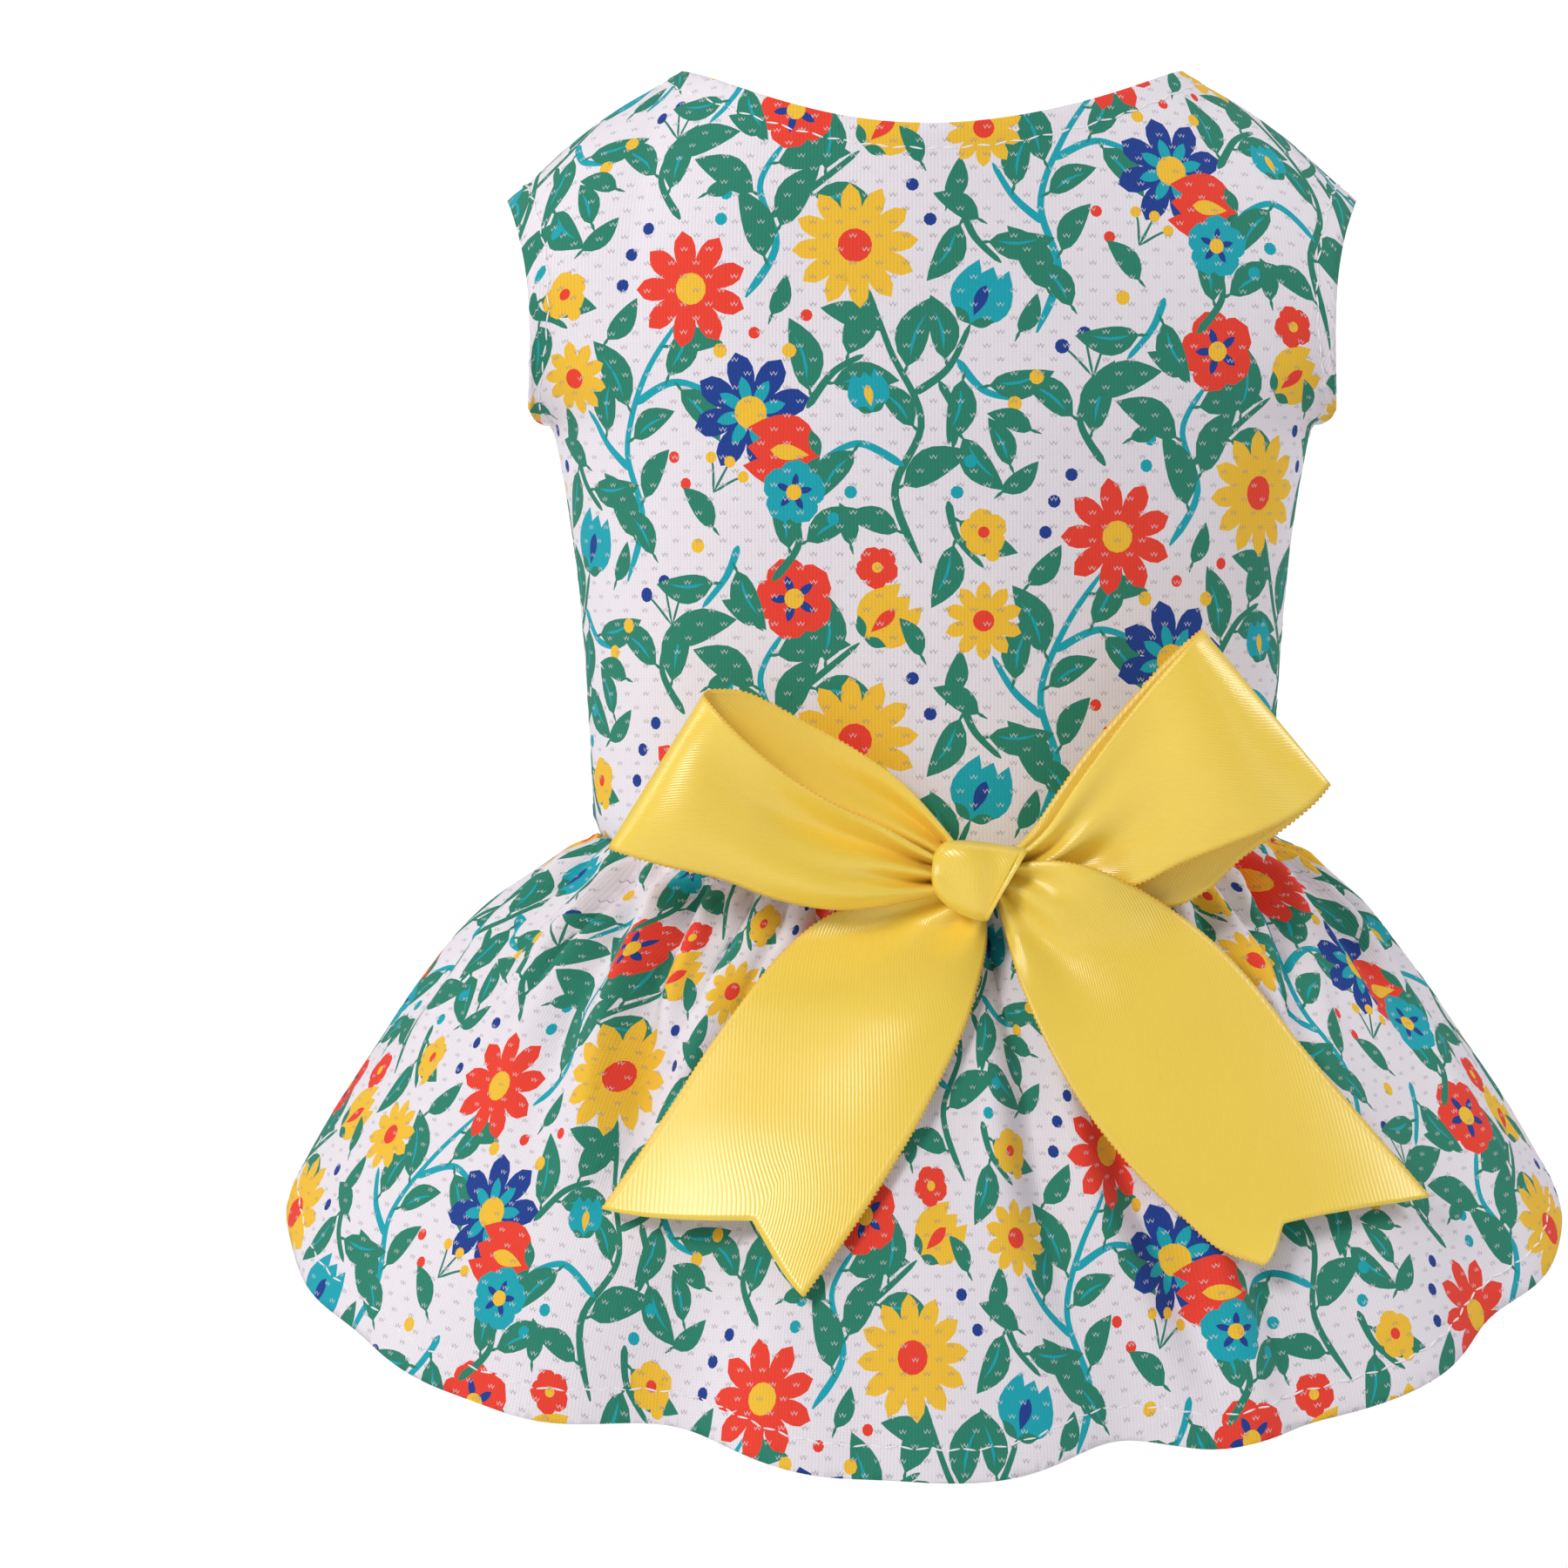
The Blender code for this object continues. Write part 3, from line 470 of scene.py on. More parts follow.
skirt_turns = np.linspace(-math.pi, math.pi, SKIRT_SAMPLES)
skirt_drops = np.linspace(0, 1, DROP_SAMPLES)
hem_line = skirt_shape(skirt_turns, np.ones(SKIRT_SAMPLES), folds=0.0)[0]
hem_run = np.concatenate([[0], np.cumsum(np.linalg.norm(np.diff(hem_line[:, :2], axis=0), axis=1))])
skirt_rights = (hem_run / hem_run[-1] - 0.5) * SKIRT_CUT_WIDTH
down_all = skirt_shape(*np.meshgrid(skirt_turns, skirt_drops))[0]
down_run = np.concatenate([np.zeros((1, SKIRT_SAMPLES)), np.cumsum(np.linalg.norm(np.diff(down_all, axis=0), axis=2), axis=0)])
skirt_lengths = down_run[-1]
down_share = (down_run / skirt_lengths).mean(axis=1)


def skirt_base(flat):
    """Points of the gathered skirt for flat points, whose right is along the cloth and up is from the waist seam."""
    turn = np.interp(flat[:, 0], skirt_rights, skirt_turns)
    length = np.interp(turn, skirt_turns, skirt_lengths)
    drop = np.interp(-flat[:, 1] / length, down_share, skirt_drops)
    point, out = skirt_shape(turn, drop)
    return point + out * gathers(turn, drop)[:, None]


def skirt_length(right):
    """Length of the skirt's cloth at a place along it."""
    return np.interp(np.interp(right, skirt_rights, skirt_turns), skirt_turns, skirt_lengths)


print(f"hem round the dress {1000 * hem_run[-1]:.0f} mm, skirt length {1000 * skirt_lengths.min():.0f} to "
      f"{1000 * skirt_lengths.max():.0f} mm")

# %% [markdown]
# ## Relief of the cloth
#
# Real cloth is never as smooth as its pattern. It sinks along every seam, a turned hem is two
# layers thick, a row of stitches pulls a fine groove, and soft dents lie in between. A surface is
# therefore its base plus a small step along the normal, and that step depends on how far a flat
# point is from the piece's edges.

# %% Distance from edges, and surfaces with relief
SEAM_SINK = 1.3 * MM
SEAM_SINK_WIDTH = 2.0 * MM
NECK_HEM = 5.0 * MM
LEG_HOLE_HEM = 4.0 * MM
SKIRT_HEM = 6.0 * MM
HEM_PROUD = 0.30 * MM
STITCH_GROOVE = 0.28 * MM
STITCH_GROOVE_WIDTH = 0.9 * MM
DENT_DEPTH = 0.9 * MM
DENT_SIZE = 30.0 * MM
PUCKER_DEPTH = 0.55 * MM
PUCKER_REACH = 8.0 * MM
NORMAL_STEP = 0.4 * MM


def distance_to(flat, line):
    """Distance of each flat point to a line of flat points."""
    nearest = np.full(len(flat), np.inf)
    for start, end in zip(line[:-1], line[1:]):
        along = end - start
        share = np.clip((flat - start) @ along / max(along @ along, 1e-12), 0, 1)
        nearest = np.minimum(nearest, np.linalg.norm(flat - start - share[:, None] * along, axis=1))
    return nearest


def hem_relief(away, hem):
    """A turned hem of this width: two layers thick, with a groove where it is stitched."""
    layers = HEM_PROUD * (1 - ease((away - hem) / MM))
    return layers - STITCH_GROOVE * np.exp(-(((away - hem) / STITCH_GROOVE_WIDTH) ** 2))


def dents(flat, seed):
    """Soft dents all over, from smooth noise."""
    heights = [noise.noise(Vector((u / DENT_SIZE, 0.6 * v / DENT_SIZE, seed))) for u, v in flat]
    return DENT_DEPTH * np.array(heights)


def with_relief(base, relief, flat):
    """Points of a base surface, moved along its normals by its relief."""
    right, up = np.array([NORMAL_STEP, 0]), np.array([0, NORMAL_STEP])
    normal = np.cross(base(flat + right) - base(flat - right), base(flat + up) - base(flat - up))
    normal /= np.maximum(np.linalg.norm(normal, axis=1, keepdims=True), 1e-12)
    return base(flat) + normal * relief(flat)[:, None], normal


def bodice_base(facing):
    """The base surface of a panel. Flat right runs to the right as the panel is looked at from outside."""
    table = FLAT_TABLES[facing]

    def base(flat):
        row, column = find_on_table(table, flat)
        across = column / (TABLE_COLUMNS - 1) * 2 - 1
        point = bodice_point(facing, across, row / (TABLE_ROWS - 1) * 2)
        return point * np.array([-facing, 1, 1])

    return base


def panel_edges(facing):
    """The flat edges of a panel: waist, both sides, both leg holes, both shoulders and the neckline."""
    right, up = FLAT_TABLES[facing]
    both = np.stack([right, up], axis=-1)
    half = TABLE_ROWS // 2
    neck_share = NECK_WIDTH / SHOULDER_WIDTH
    neck_from = round((1 - neck_share) / 2 * (TABLE_COLUMNS - 1))
    neck_to = TABLE_COLUMNS - 1 - neck_from
    return {
        "waist": both[0],
        "right_side": both[: half + 1, -1],
        "right_hole": both[half:, -1],
        "right_shoulder": both[-1, neck_to:][::-1],
        "neck": both[-1, neck_from : neck_to + 1][::-1],
        "left_shoulder": both[-1, : neck_from + 1][::-1],
        "left_hole": both[half:, 0][::-1],
        "left_side": both[: half + 1, 0][::-1],
    }


EDGES = {facing: panel_edges(facing) for facing in (-1, 1)}


def bodice_relief(facing):
    """The relief of a panel."""
    edges = EDGES[facing]

    def relief(flat):
        height = dents(flat, facing)
        sunk = np.zeros(len(flat))
        for name in ("waist", "right_side", "left_side", "right_shoulder", "left_shoulder"):
            away = distance_to(flat, edges[name])
            sunk = np.maximum(sunk, np.exp(-((away / SEAM_SINK_WIDTH) ** 2)))
        height = height * (1 - sunk) - SEAM_SINK * sunk
        away = distance_to(flat, edges["waist"])
        pucker = np.cos(flat[:, 0] / (3.6 * MM) + 2 * np.sin(flat[:, 0] / (17 * MM)))
        height += PUCKER_DEPTH * pucker * np.exp(-((away / PUCKER_REACH) ** 1.5))
        height += hem_relief(distance_to(flat, edges["neck"]), NECK_HEM)
        for name in ("right_hole", "left_hole"):
            height += hem_relief(distance_to(flat, edges[name]), LEG_HOLE_HEM)
        return height

    return relief


def skirt_relief(flat):
    """The relief of the skirt: sunk at the waist and at its own seam, a hem, and soft dents."""
    from_waist = -flat[:, 1]
    from_seam = SKIRT_CUT_WIDTH / 2 - np.abs(flat[:, 0])
    sunk = np.exp(-((from_waist / SEAM_SINK_WIDTH) ** 2))
    side = np.exp(-((from_seam / SEAM_SINK_WIDTH) ** 2))
    height = dents(flat, 5.0) * ease(from_seam / (20 * MM)) * 0.8
    return height - SEAM_SINK * np.maximum(sunk, side) + hem_relief(skirt_length(flat[:, 0]) + flat[:, 1], SKIRT_HEM)


def back_surface(flat):
    return with_relief(bodice_base(-1), bodice_relief(-1), flat)


def belly_surface(flat):
    return with_relief(bodice_base(1), bodice_relief(1), flat)


def skirt_surface(flat):
    return with_relief(skirt_base, skirt_relief, flat)


probe = back_surface(np.array([[0.0, 0.0], [0.05, -0.05]]))[0]
print("back panel's cloth at its middle:", probe.round(4).tolist())

# %% [markdown]
# ## The print
#
# The cloth is printed with a garden pattern of daisies, blossoms, tulips, leaves and curling
# stems. The pattern here is drawn afresh for this dress, in the same few inks and at the same
# scale. Each motif is a list of outlines in one ink. They are laid out on one tile, and
# the tile is repeated in half drop: every second column starts half a tile lower, so that the eye
# doesn't find rows.

# %% Inks
INKS = {
    "ground": (0.880, 0.830, 0.880),
    "red": (0.900, 0.060, 0.034),
    "yellow": (0.960, 0.570, 0.045),
    "navy": (0.016, 0.055, 0.300),
    "turquoise": (0.012, 0.400, 0.480),
    "green": (0.028, 0.240, 0.155),
}
print("inks:", ", ".join(INKS))


# %% Outlines of petals, leaves and stems
def turned(points, angle_deg, place=(0.0, 0.0)):
    """Points turned about the origin and moved to a place."""
    angle = math.radians(angle_deg)
    cos, sin = math.cos(angle), math.sin(angle)
    return np.asarray(points) @ np.array([[cos, sin], [-sin, cos]]) + np.asarray(place)


def disc(radius, place=(0.0, 0.0), corners=14, squash=1.0):
    angles = np.linspace(0, 2 * math.pi, corners, endpoint=False)
    return np.column_stack([radius * np.cos(angles), radius * squash * np.sin(angles)]) + np.asarray(place)


def blade(length, width, fullest=0.5, pointed=1.0, bend=0.0, corners=8, start=0.0):
    """A petal or leaf that grows up from the origin. Pointed 1 has a sharp tip, 0.5 a round one."""
    share = np.linspace(0, 1, corners)
    warped = share ** (math.log(0.5) / math.log(fullest))
    half = width / 2 * np.sin(math.pi * warped) ** pointed
    up = start + length * share
    side = bend * length * np.sin(math.pi * share)
    right = np.column_stack([side + half, up])
    left = np.column_stack([side - half, up])[::-1]
    return np.concatenate([right, left[1:-1]])


def smooth_line(points, steps):
    """A smooth line of this many points through a few chosen ones."""
    return smooth_read(points, np.linspace(0, 1, steps))


def strip(line, width, taper=0.6):
    """The outline of a stem along a line, thinner towards its tip and narrow at both ends."""
    ahead = np.gradient(line, axis=0)
    side = np.column_stack([-ahead[:, 1], ahead[:, 0]]) / np.linalg.norm(ahead, axis=1, keepdims=True)
    share = np.linspace(0, 1, len(line))
    narrow = np.minimum(1, 0.25 + 6 * np.minimum(share, 1 - share))
    half = (width / 2 * mix(1, taper, share) * narrow)[:, None]
    return np.concatenate([line + side * half, (line - side * half)[::-1]])


# %% Motifs, each a list of (ink, outline) from the bottom layer to the top one
def daisy(ink, heart, radius, petals=9, full=0.62, inner=None):
    """Round petals about a heart, with small inner petals in a third ink."""
    width = 2 * math.pi * radius * full / petals * 0.92
    shapes = [(ink, turned(blade(radius, width, 0.66, 0.55), 360 * n / petals)) for n in range(petals)]
    if inner:
        small = [turned(blade(radius * 0.6, width * 0.45, 0.6, 0.7), 360 * n / petals) for n in range(petals)]
        shapes += [(inner, shape) for shape in small]
    return shapes + [(heart, disc(radius * 0.27))]


def blossom(ink, heart, radius, ring=None):
    """Five broad petals with a dot at the root of each."""
    shapes = [(ink, turned(blade(radius, radius * 0.95, 0.62, 0.5), 72 * n)) for n in range(5)]
    if ring:
        shapes += [(ring, turned(blade(radius * 0.58, radius * 0.2, 0.6, 0.8), 72 * n)) for n in range(5)]
    return shapes + [(heart, disc(radius * 0.24))]


def tulip(ink, inner, size):
    """A cup of three pointed petals on two small leaves."""
    side = blade(size, size * 0.48, 0.42, 0.8, bend=0.13)
    mirrored = side * np.array([-1, 1])
    return [
        (ink, turned(side, -14)),
        (ink, turned(mirrored[::-1], 14)),
        (ink, blade(size * 0.94, size * 0.46, 0.5, 0.8)),
        (inner, blade(size * 0.5, size * 0.2, 0.6, 0.7, start=size * 0.14)),
        ("green", turned(blade(size * 0.36, size * 0.16), 62)),
        ("green", turned(blade(size * 0.36, size * 0.16), -62)),
    ]


def sprig(ink, size):
    """Three berries on a forked stalk."""
    shapes = []
    for angle in (-34, 0, 34):
        tip = turned([(0, size)], angle)[0]
        shapes.append(("green", strip(smooth_line([(0, 0), tip * 0.6 + (0, 0.6), tip], 6), 0.7)))
        shapes.append((ink, disc(size * 0.17, tip, 10)))
    return shapes


def leaf(length, vein=None, bend=0.08):
    """A pointed leaf with a stalk, and a vein in another ink."""
    shapes = [("green", strip(np.array([(0, -2.2), (0, -0.6), (0, 1.2)]), 0.8, 1.0))]
    shapes.append(("green", blade(length, length * 0.44, 0.42, 0.85, bend)))
    if vein:
        shapes.append((vein, blade(length * 0.62, 0.7, 0.4, 0.8, bend * 0.9, 5, start=length * 0.14)))
    return shapes


def placed(motif, x, y, angle_deg=0.0):
    return [(ink, turned(shape, angle_deg, (x, y))) for ink, shape in motif]


# %% One tile of the pattern, laid out in millimetres
TILE_WIDTH = 98.0
TILE_HEIGHT = 112.0
PRINT_SCALE = 0.86
STEM_WIDTH = 2.0
LEAF_LENGTH = 16.0

# A stem's points, its ink, and the places along it where leaves grow, to its left and right
Stem = namedtuple("Stem", "points ink left_leaves right_leaves")
STEMS = (
    Stem([(14, 2), (19, 16), (15, 32), (21, 48), (31, 62)], "turquoise", (0.16, 0.62), (0.30, 0.52, 0.86)),
    Stem([(16, 27), (9, 33), (4, 41)], "turquoise", (), (0.55,)),
    Stem([(18, 42), (29, 47), (41, 43)], "turquoise", (0.4,), (0.5,)),
    Stem([(86, 6), (80, 22), (86, 38), (79, 54), (74, 68)], "green", (0.12, 0.46, 0.82), (0.26, 0.66)),
    Stem([(82, 28), (72, 33), (63, 29)], "turquoise", (0.5,), ()),
    Stem([(84, 44), (92, 50), (97, 60)], "green", (0.5,), ()),
    Stem([(46, 66), (53, 78), (49, 92), (55, 103)], "turquoise", (0.22, 0.60), (0.40, 0.80)),
    Stem([(51, 84), (62, 92), (72, 100)], "green", (0.6,), (0.4,)),
    Stem([(30, 84), (24, 94), (27, 104)], "green", (0.5,), (0.3, 0.75)),
    Stem([(52, 2), (58, 10), (57, 18)], "green", (0.35,), (0.5,)),
    Stem([(60, 41), (66, 49), (73, 53)], "green", (0.15, 0.7), (0.35,)),
    Stem([(44, 10), (41, 3), (35, -4)], "turquoise", (0.3,), (0.6,)),
    Stem([(92, 20), (94, 12), (100, 5)], "green", (0.25,), (0.5,)),
    Stem([(-3, 31), (0, 24), (6, 18)], "green", (0.6,), (0.2,)),
    Stem([(90, 47), (94, 39), (93, 32)], "green", (0.7,), ()),
    Stem([(-4, 108), (2, 101), (10, 99)], "turquoise", (0.45,), (0.2,)),
)
Motif = namedtuple("Motif", "shapes x y angle_deg")
MOTIFS = (
    Motif(daisy("red", "yellow", 13.5, petals=9), 33, 68, 10),
    Motif(daisy("yellow", "red", 9.0, petals=10, full=0.66), 2, 49, 0),
    Motif(daisy("navy", "yellow", 14.0, petals=8, inner="turquoise"), 47, 40, 14),
    Motif(daisy("yellow", "red", 14.5, petals=12, full=0.68), 71, 78, 5),
    Motif(tulip("red", "yellow", 18.0), 63, 30, 82),
    Motif(tulip("turquoise", "navy", 15.0), 97, 60, -22),
    Motif(blossom("red", "yellow", 9.5, ring="navy"), 57, 110, 20),
    Motif(tulip("yellow", "red", 15.0), 73, 101, -48),
    Motif(sprig("navy", 10.0), 27, 104, 12),
    Motif(blossom("turquoise", "yellow", 7.5, ring="navy"), 57, 22, -8),
    Motif(sprig("yellow", 8.0), 38, 22, -30),
    Motif(leaf(12.0), 38, 14, 40),
    Motif(leaf(11.0), 6, 78, -50),
    Motif(leaf(12.0, "turquoise"), 8, 84, 25),
    Motif(leaf(11.0), 92, 88, -15),
    Motif(leaf(10.0), 70, 10, 15),
    Motif(leaf(13.0, "turquoise"), 22, 8, 35),
    Motif(leaf(12.0), 12, 57, -40),
    Motif(leaf(12.0), 99, 84, 60),
    Motif(blossom("yellow", "red", 5.5), 2, 69, 10),
    Motif(leaf(10.0), 52, 62, -20),
    Motif(leaf(11.0), 13, 92, 70),
    Motif(leaf(10.0), 86, 97, 30),
    Motif(blossom("red", "yellow", 5.0), 76, 5, 30),
    Motif(tulip("turquoise", "yellow", 10.0), 75, 40, 12),
    Motif(leaf(10.0), 10, 2, -25),
    Motif(leaf(9.0), 36, 90, -60),
    Motif(leaf(10.0), 48, 104, 55),
)
DOTS = (
    ("navy", 1.5, ((22, 82), (18, 76), (16, 69), (84, 92), (88, 84))),
    ("yellow", 1.7, ((40, 54), (56, 54), (4, 64), (9, 98), (14, 104), (34, 10))),
    ("turquoise", 1.5, ((66, 16), (70, 22), (94, 22), (97, 29), (40, 84), (41, 90))),
    ("red", 1.4, ((60, 62), (48, 58), (28, 30), (31, 24))),
)


def grown_stem(stem):
    """A stem's strip and its leaves."""
    line = smooth_line(stem.points, 6 * len(stem.points))
    shapes = [(stem.ink, strip(line, STEM_WIDTH))]
    for side, places in ((1, stem.left_leaves), (-1, stem.right_leaves)):
        for number, share in enumerate(places):
            near, ahead = smooth_read(stem.points, np.array([share, min(1.0, share + 0.04)]))
            heading = math.degrees(math.atan2(ahead[1] - near[1], ahead[0] - near[0])) - 90
            length = LEAF_LENGTH * (0.82 + 0.13 * ((3 * number + len(places)) % 3))
            vein = "turquoise" if (number + len(stem.points)) % 3 == 0 else None
            grown = turned(near + turned([(0, 2.0)], heading + side * 52) - near, 0)
            shapes += placed(leaf(length, vein, 0.09 * side), *(near + grown[0]), heading + side * 50)
    return shapes


def tile_shapes():
    """All shapes of one tile as (ink, outline), from the bottom layer to the top one."""
    shapes = []
    for stem in STEMS:
        shapes += grown_stem(stem)
    for ink, radius, places in DOTS:
        shapes += [(ink, disc(radius, place, 9)) for place in places]
    for motif in MOTIFS:
        shapes += placed(motif.shapes, motif.x, motif.y, motif.angle_deg)
    return [(ink, shape * PRINT_SCALE * MM) for ink, shape in shapes]


TILE = tile_shapes()
print("one tile holds", len(TILE), "shapes with", sum(len(shape) for _, shape in TILE), "corners")


def print_over(low, high, shift):
    """The pattern's shapes that fall between two flat corners."""
    width, height = TILE_WIDTH * PRINT_SCALE * MM, TILE_HEIGHT * PRINT_SCALE * MM
    found = []
    for column in range(math.floor((low[0] - shift[0]) / width) - 1, math.ceil((high[0] - shift[0]) / width) + 1):
        drop = (column % 2) * height / 2
        for row in range(math.floor((low[1] - shift[1]) / height) - 2, math.ceil((high[1] - shift[1]) / height) + 2):
            corner = np.array([column * width + shift[0], row * height - drop + shift[1]])
            found += [(ink, shape + corner) for ink, shape in TILE]
    inside = [
        (ink, shape) for ink, shape in found
        if np.all(shape.max(axis=0) > low) and np.all(shape.min(axis=0) < high)
    ]
    return inside


# %% [markdown]
# ## Cutting the printed cloth
#
# A print could be painted on with a picture, but crisp edges at any distance come more easily from
# the mesh itself. A constrained triangulation takes the outline of the piece, the outlines of all
# motifs and a scatter of plain points, and returns triangles whose edges follow every outline.
# Each triangle then takes the ink of the topmost shape that covers it, kept as a colour attribute.

# %% Cut a piece with its print
CDT_NEARNESS = 1e-5
INSIDE_ONLY = 1
ROW_PACKING = 0.87


def fill_points(low, high, spacing):
    """Evenly scattered points between two flat corners, in staggered rows."""
    rows = np.arange(low[1] + spacing / 3, high[1], spacing * ROW_PACKING)
    lines = []
    for number, up in enumerate(rows):
        rights = np.arange(low[0] + (number % 2 + 0.5) * spacing / 2, high[0], spacing)
        lines.append(np.column_stack([rights, np.full(len(rights), up)]))
    return np.concatenate(lines)


def left_handed(outline):
    """The outline with its inside on its left, which is how the triangulation reads it."""
    ahead = np.roll(outline, -1, axis=0)
    area = np.sum(outline[:, 0] * ahead[:, 1] - ahead[:, 0] * outline[:, 1])
    return outline if area > 0 else outline[::-1]


def cut_cloth(outline, fill, shift):
    """Flat points, triangles and the ink of each triangle for a piece of printed cloth."""
    shapes = print_over(outline.min(axis=0), outline.max(axis=0), shift)
    polygons = [left_handed(shape) for shape in [outline] + [shape for _, shape in shapes]]
    inks = ["ground"] + [ink for ink, _ in shapes]
    corners = np.concatenate(polygons + [fill]) / MM
    faces = []
    start = 0
    for polygon in polygons:
        faces.append(list(range(start, start + len(polygon))))
        start += len(polygon)
    points, _, triangles, _, _, owners = delaunay_2d_cdt(
        [Vector(corner) for corner in corners], [], faces, INSIDE_ONLY, CDT_NEARNESS, True
    )
    kept = [(face, max(owner)) for face, owner in zip(triangles, owners) if 0 in owner]
    faces = np.array([face for face, _ in kept])
    used, faces = np.unique(faces, return_inverse=True)
    flat = np.array([(p.x, p.y) for p in points])[used] * MM
    return flat, faces.reshape(-1, 3), [inks[top] for _, top in kept]


def apply_modifier(piece, kind, **settings):
    """Adds a modifier with these settings and applies it."""
    bpy.ops.object.select_all(action="DESELECT")
    piece.select_set(True)
    bpy.context.view_layer.objects.active = piece
    bpy.ops.object.modifier_add(type=kind)
    modifier = piece.modifiers[-1]
    for key, value in settings.items():
        setattr(modifier, key, value)
    bpy.ops.object.modifier_apply(modifier=modifier.name)


CLOTH_SHOWN = 0.8 * MM


def printed_piece(name, outline, fill, shift, surface, turned_in=False):
    """A printed cloth piece on its surface. One that is turned in shows its print on the inside."""
    flat, triangles, inks = cut_cloth(outline, fill, shift)
    points, normals = surface(flat)
    if turned_in:
        points = points - normals * (CLOTH_SHOWN + TURNED_GAP)
        triangles = triangles[:, ::-1]
    mesh = bpy.data.meshes.new(name)
    mesh.from_pydata(points.tolist(), [], triangles.tolist())
    uv = mesh.uv_layers.new(name="flat_cloth")
    uv.data.foreach_set("uv", flat[triangles.ravel()].astype(np.float32).ravel())
    colours = mesh.color_attributes.new("print", "FLOAT_COLOR", "CORNER")
    values = np.array([(*INKS[ink], 1.0) for ink in inks])
    colours.data.foreach_set("color", np.repeat(values, 3, axis=0).astype(np.float32).ravel())
    mesh.materials.append(KNIT)
    mesh.materials.append(KNIT_REVERSE)
    piece = bpy.data.objects.new(name, mesh)
    bpy.context.scene.collection.objects.link(piece)
    bpy.ops.object.select_all(action="DESELECT")
    piece.select_set(True)
    bpy.context.view_layer.objects.active = piece
    bpy.ops.object.shade_smooth()
    thickness = CLOTH_SHOWN / 2 if turned_in else CLOTH_SHOWN
    apply_modifier(piece, "SOLIDIFY", thickness=thickness, offset=-1.0, material_offset=1)
    print(f"{name}: {len(piece.data.polygons)} faces")
    return piece


# %% [markdown]
# ## Knit, thread and satin
#
# The cloth is a light polyester knit. Up close it has fine upright ribs, whose valleys are painted
# with a little shade, and, in staggered rows, the small w-shaped holes of an eyelet knit: pale on the
# dark inks, and on the pale ground grey, which is painted shade inside the holes. Both are worked
# out from the flat cloth coordinates, so they bend and gather with it. The reverse shows the same
# knit with the print only shining through. The ribbon is satin: its long floats give broad soft
# highlights, its selvedge is a firmer band, and fine ribs cross it, their lines painted with a little shade.

# %% Small helpers for material nodes
def new_material(name, colour, roughness):
    """A material with its shader, ready for nodes."""
    made = bpy.data.materials.new(name)
    made.use_nodes = True
    shader = made.node_tree.nodes["Principled BSDF"]
    shader.inputs["Base Color"].default_value = (*colour, 1.0)
    shader.inputs["Roughness"].default_value = roughness
    return made, made.node_tree, shader


def plug(tree, socket, value):
    if isinstance(value, bpy.types.NodeSocket):
        tree.links.new(value, socket)
    else:
        socket.default_value = value


def maths(tree, operation, *values):
    made = tree.nodes.new("ShaderNodeMath")
    made.operation = operation
    for socket, value in zip(made.inputs, values):
        plug(tree, socket, value)
    return made.outputs[0]


def blend_colours(tree, share, low, high, kind="MIX"):
    made = tree.nodes.new("ShaderNodeMix")
    made.data_type = "RGBA"
    made.blend_type = kind
    plug(tree, made.inputs["Factor"], share)
    plug(tree, made.inputs["A"], low)
    plug(tree, made.inputs["B"], high)
    return made.outputs["Result"]


def brightness(tree, colour):
    made = tree.nodes.new("ShaderNodeRGBToBW")
    tree.links.new(colour, made.inputs["Color"])
    return made.outputs["Val"]


def cloth_coordinates(tree, layer):
    """Right and up on the flat cloth, in millimetres."""
    source = tree.nodes.new("ShaderNodeUVMap")
    source.uv_map = layer
    parts = tree.nodes.new("ShaderNodeSeparateXYZ")
    tree.links.new(source.outputs["UV"], parts.inputs["Vector"])
    return [maths(tree, "MULTIPLY", parts.outputs[axis], 1000.0) for axis in ("X", "Y")]


def add_bump(tree, shader, height, distance, strength):
    bump = tree.nodes.new("ShaderNodeBump")
    bump.inputs["Strength"].default_value = strength
    bump.inputs["Distance"].default_value = distance
    tree.links.new(height, bump.inputs["Height"])
    tree.links.new(bump.outputs["Normal"], shader.inputs["Normal"])


def soft_noise(tree, scale, detail=2.0):
    place = tree.nodes.new("ShaderNodeTexCoord")
    cloud = tree.nodes.new("ShaderNodeTexNoise")
    cloud.inputs["Scale"].default_value = scale
    cloud.inputs["Detail"].default_value = detail
    tree.links.new(place.outputs["Object"], cloud.inputs["Vector"])
    return cloud.outputs["Fac"]


# %% The eyelet knit
RIB_PITCH = 0.72
EYELET_PITCH = 5.2
EYELET_ROW = 2.7
EYELET_HALF_WIDTH = 0.78
EYELET_HALF_HEIGHT = 0.34
EYELET_STROKE = 0.17
# Painted shade: the grey of the eyelet holes on the pale ground, for the shadow inside them.
EYELET_SHADE_ON_GROUND = (0.34, 0.31, 0.36, 1.0)
EYELET_ON_INK = (0.80, 0.78, 0.82, 1.0)
GHOST_GROUND = (0.86, 0.83, 0.88, 1.0)


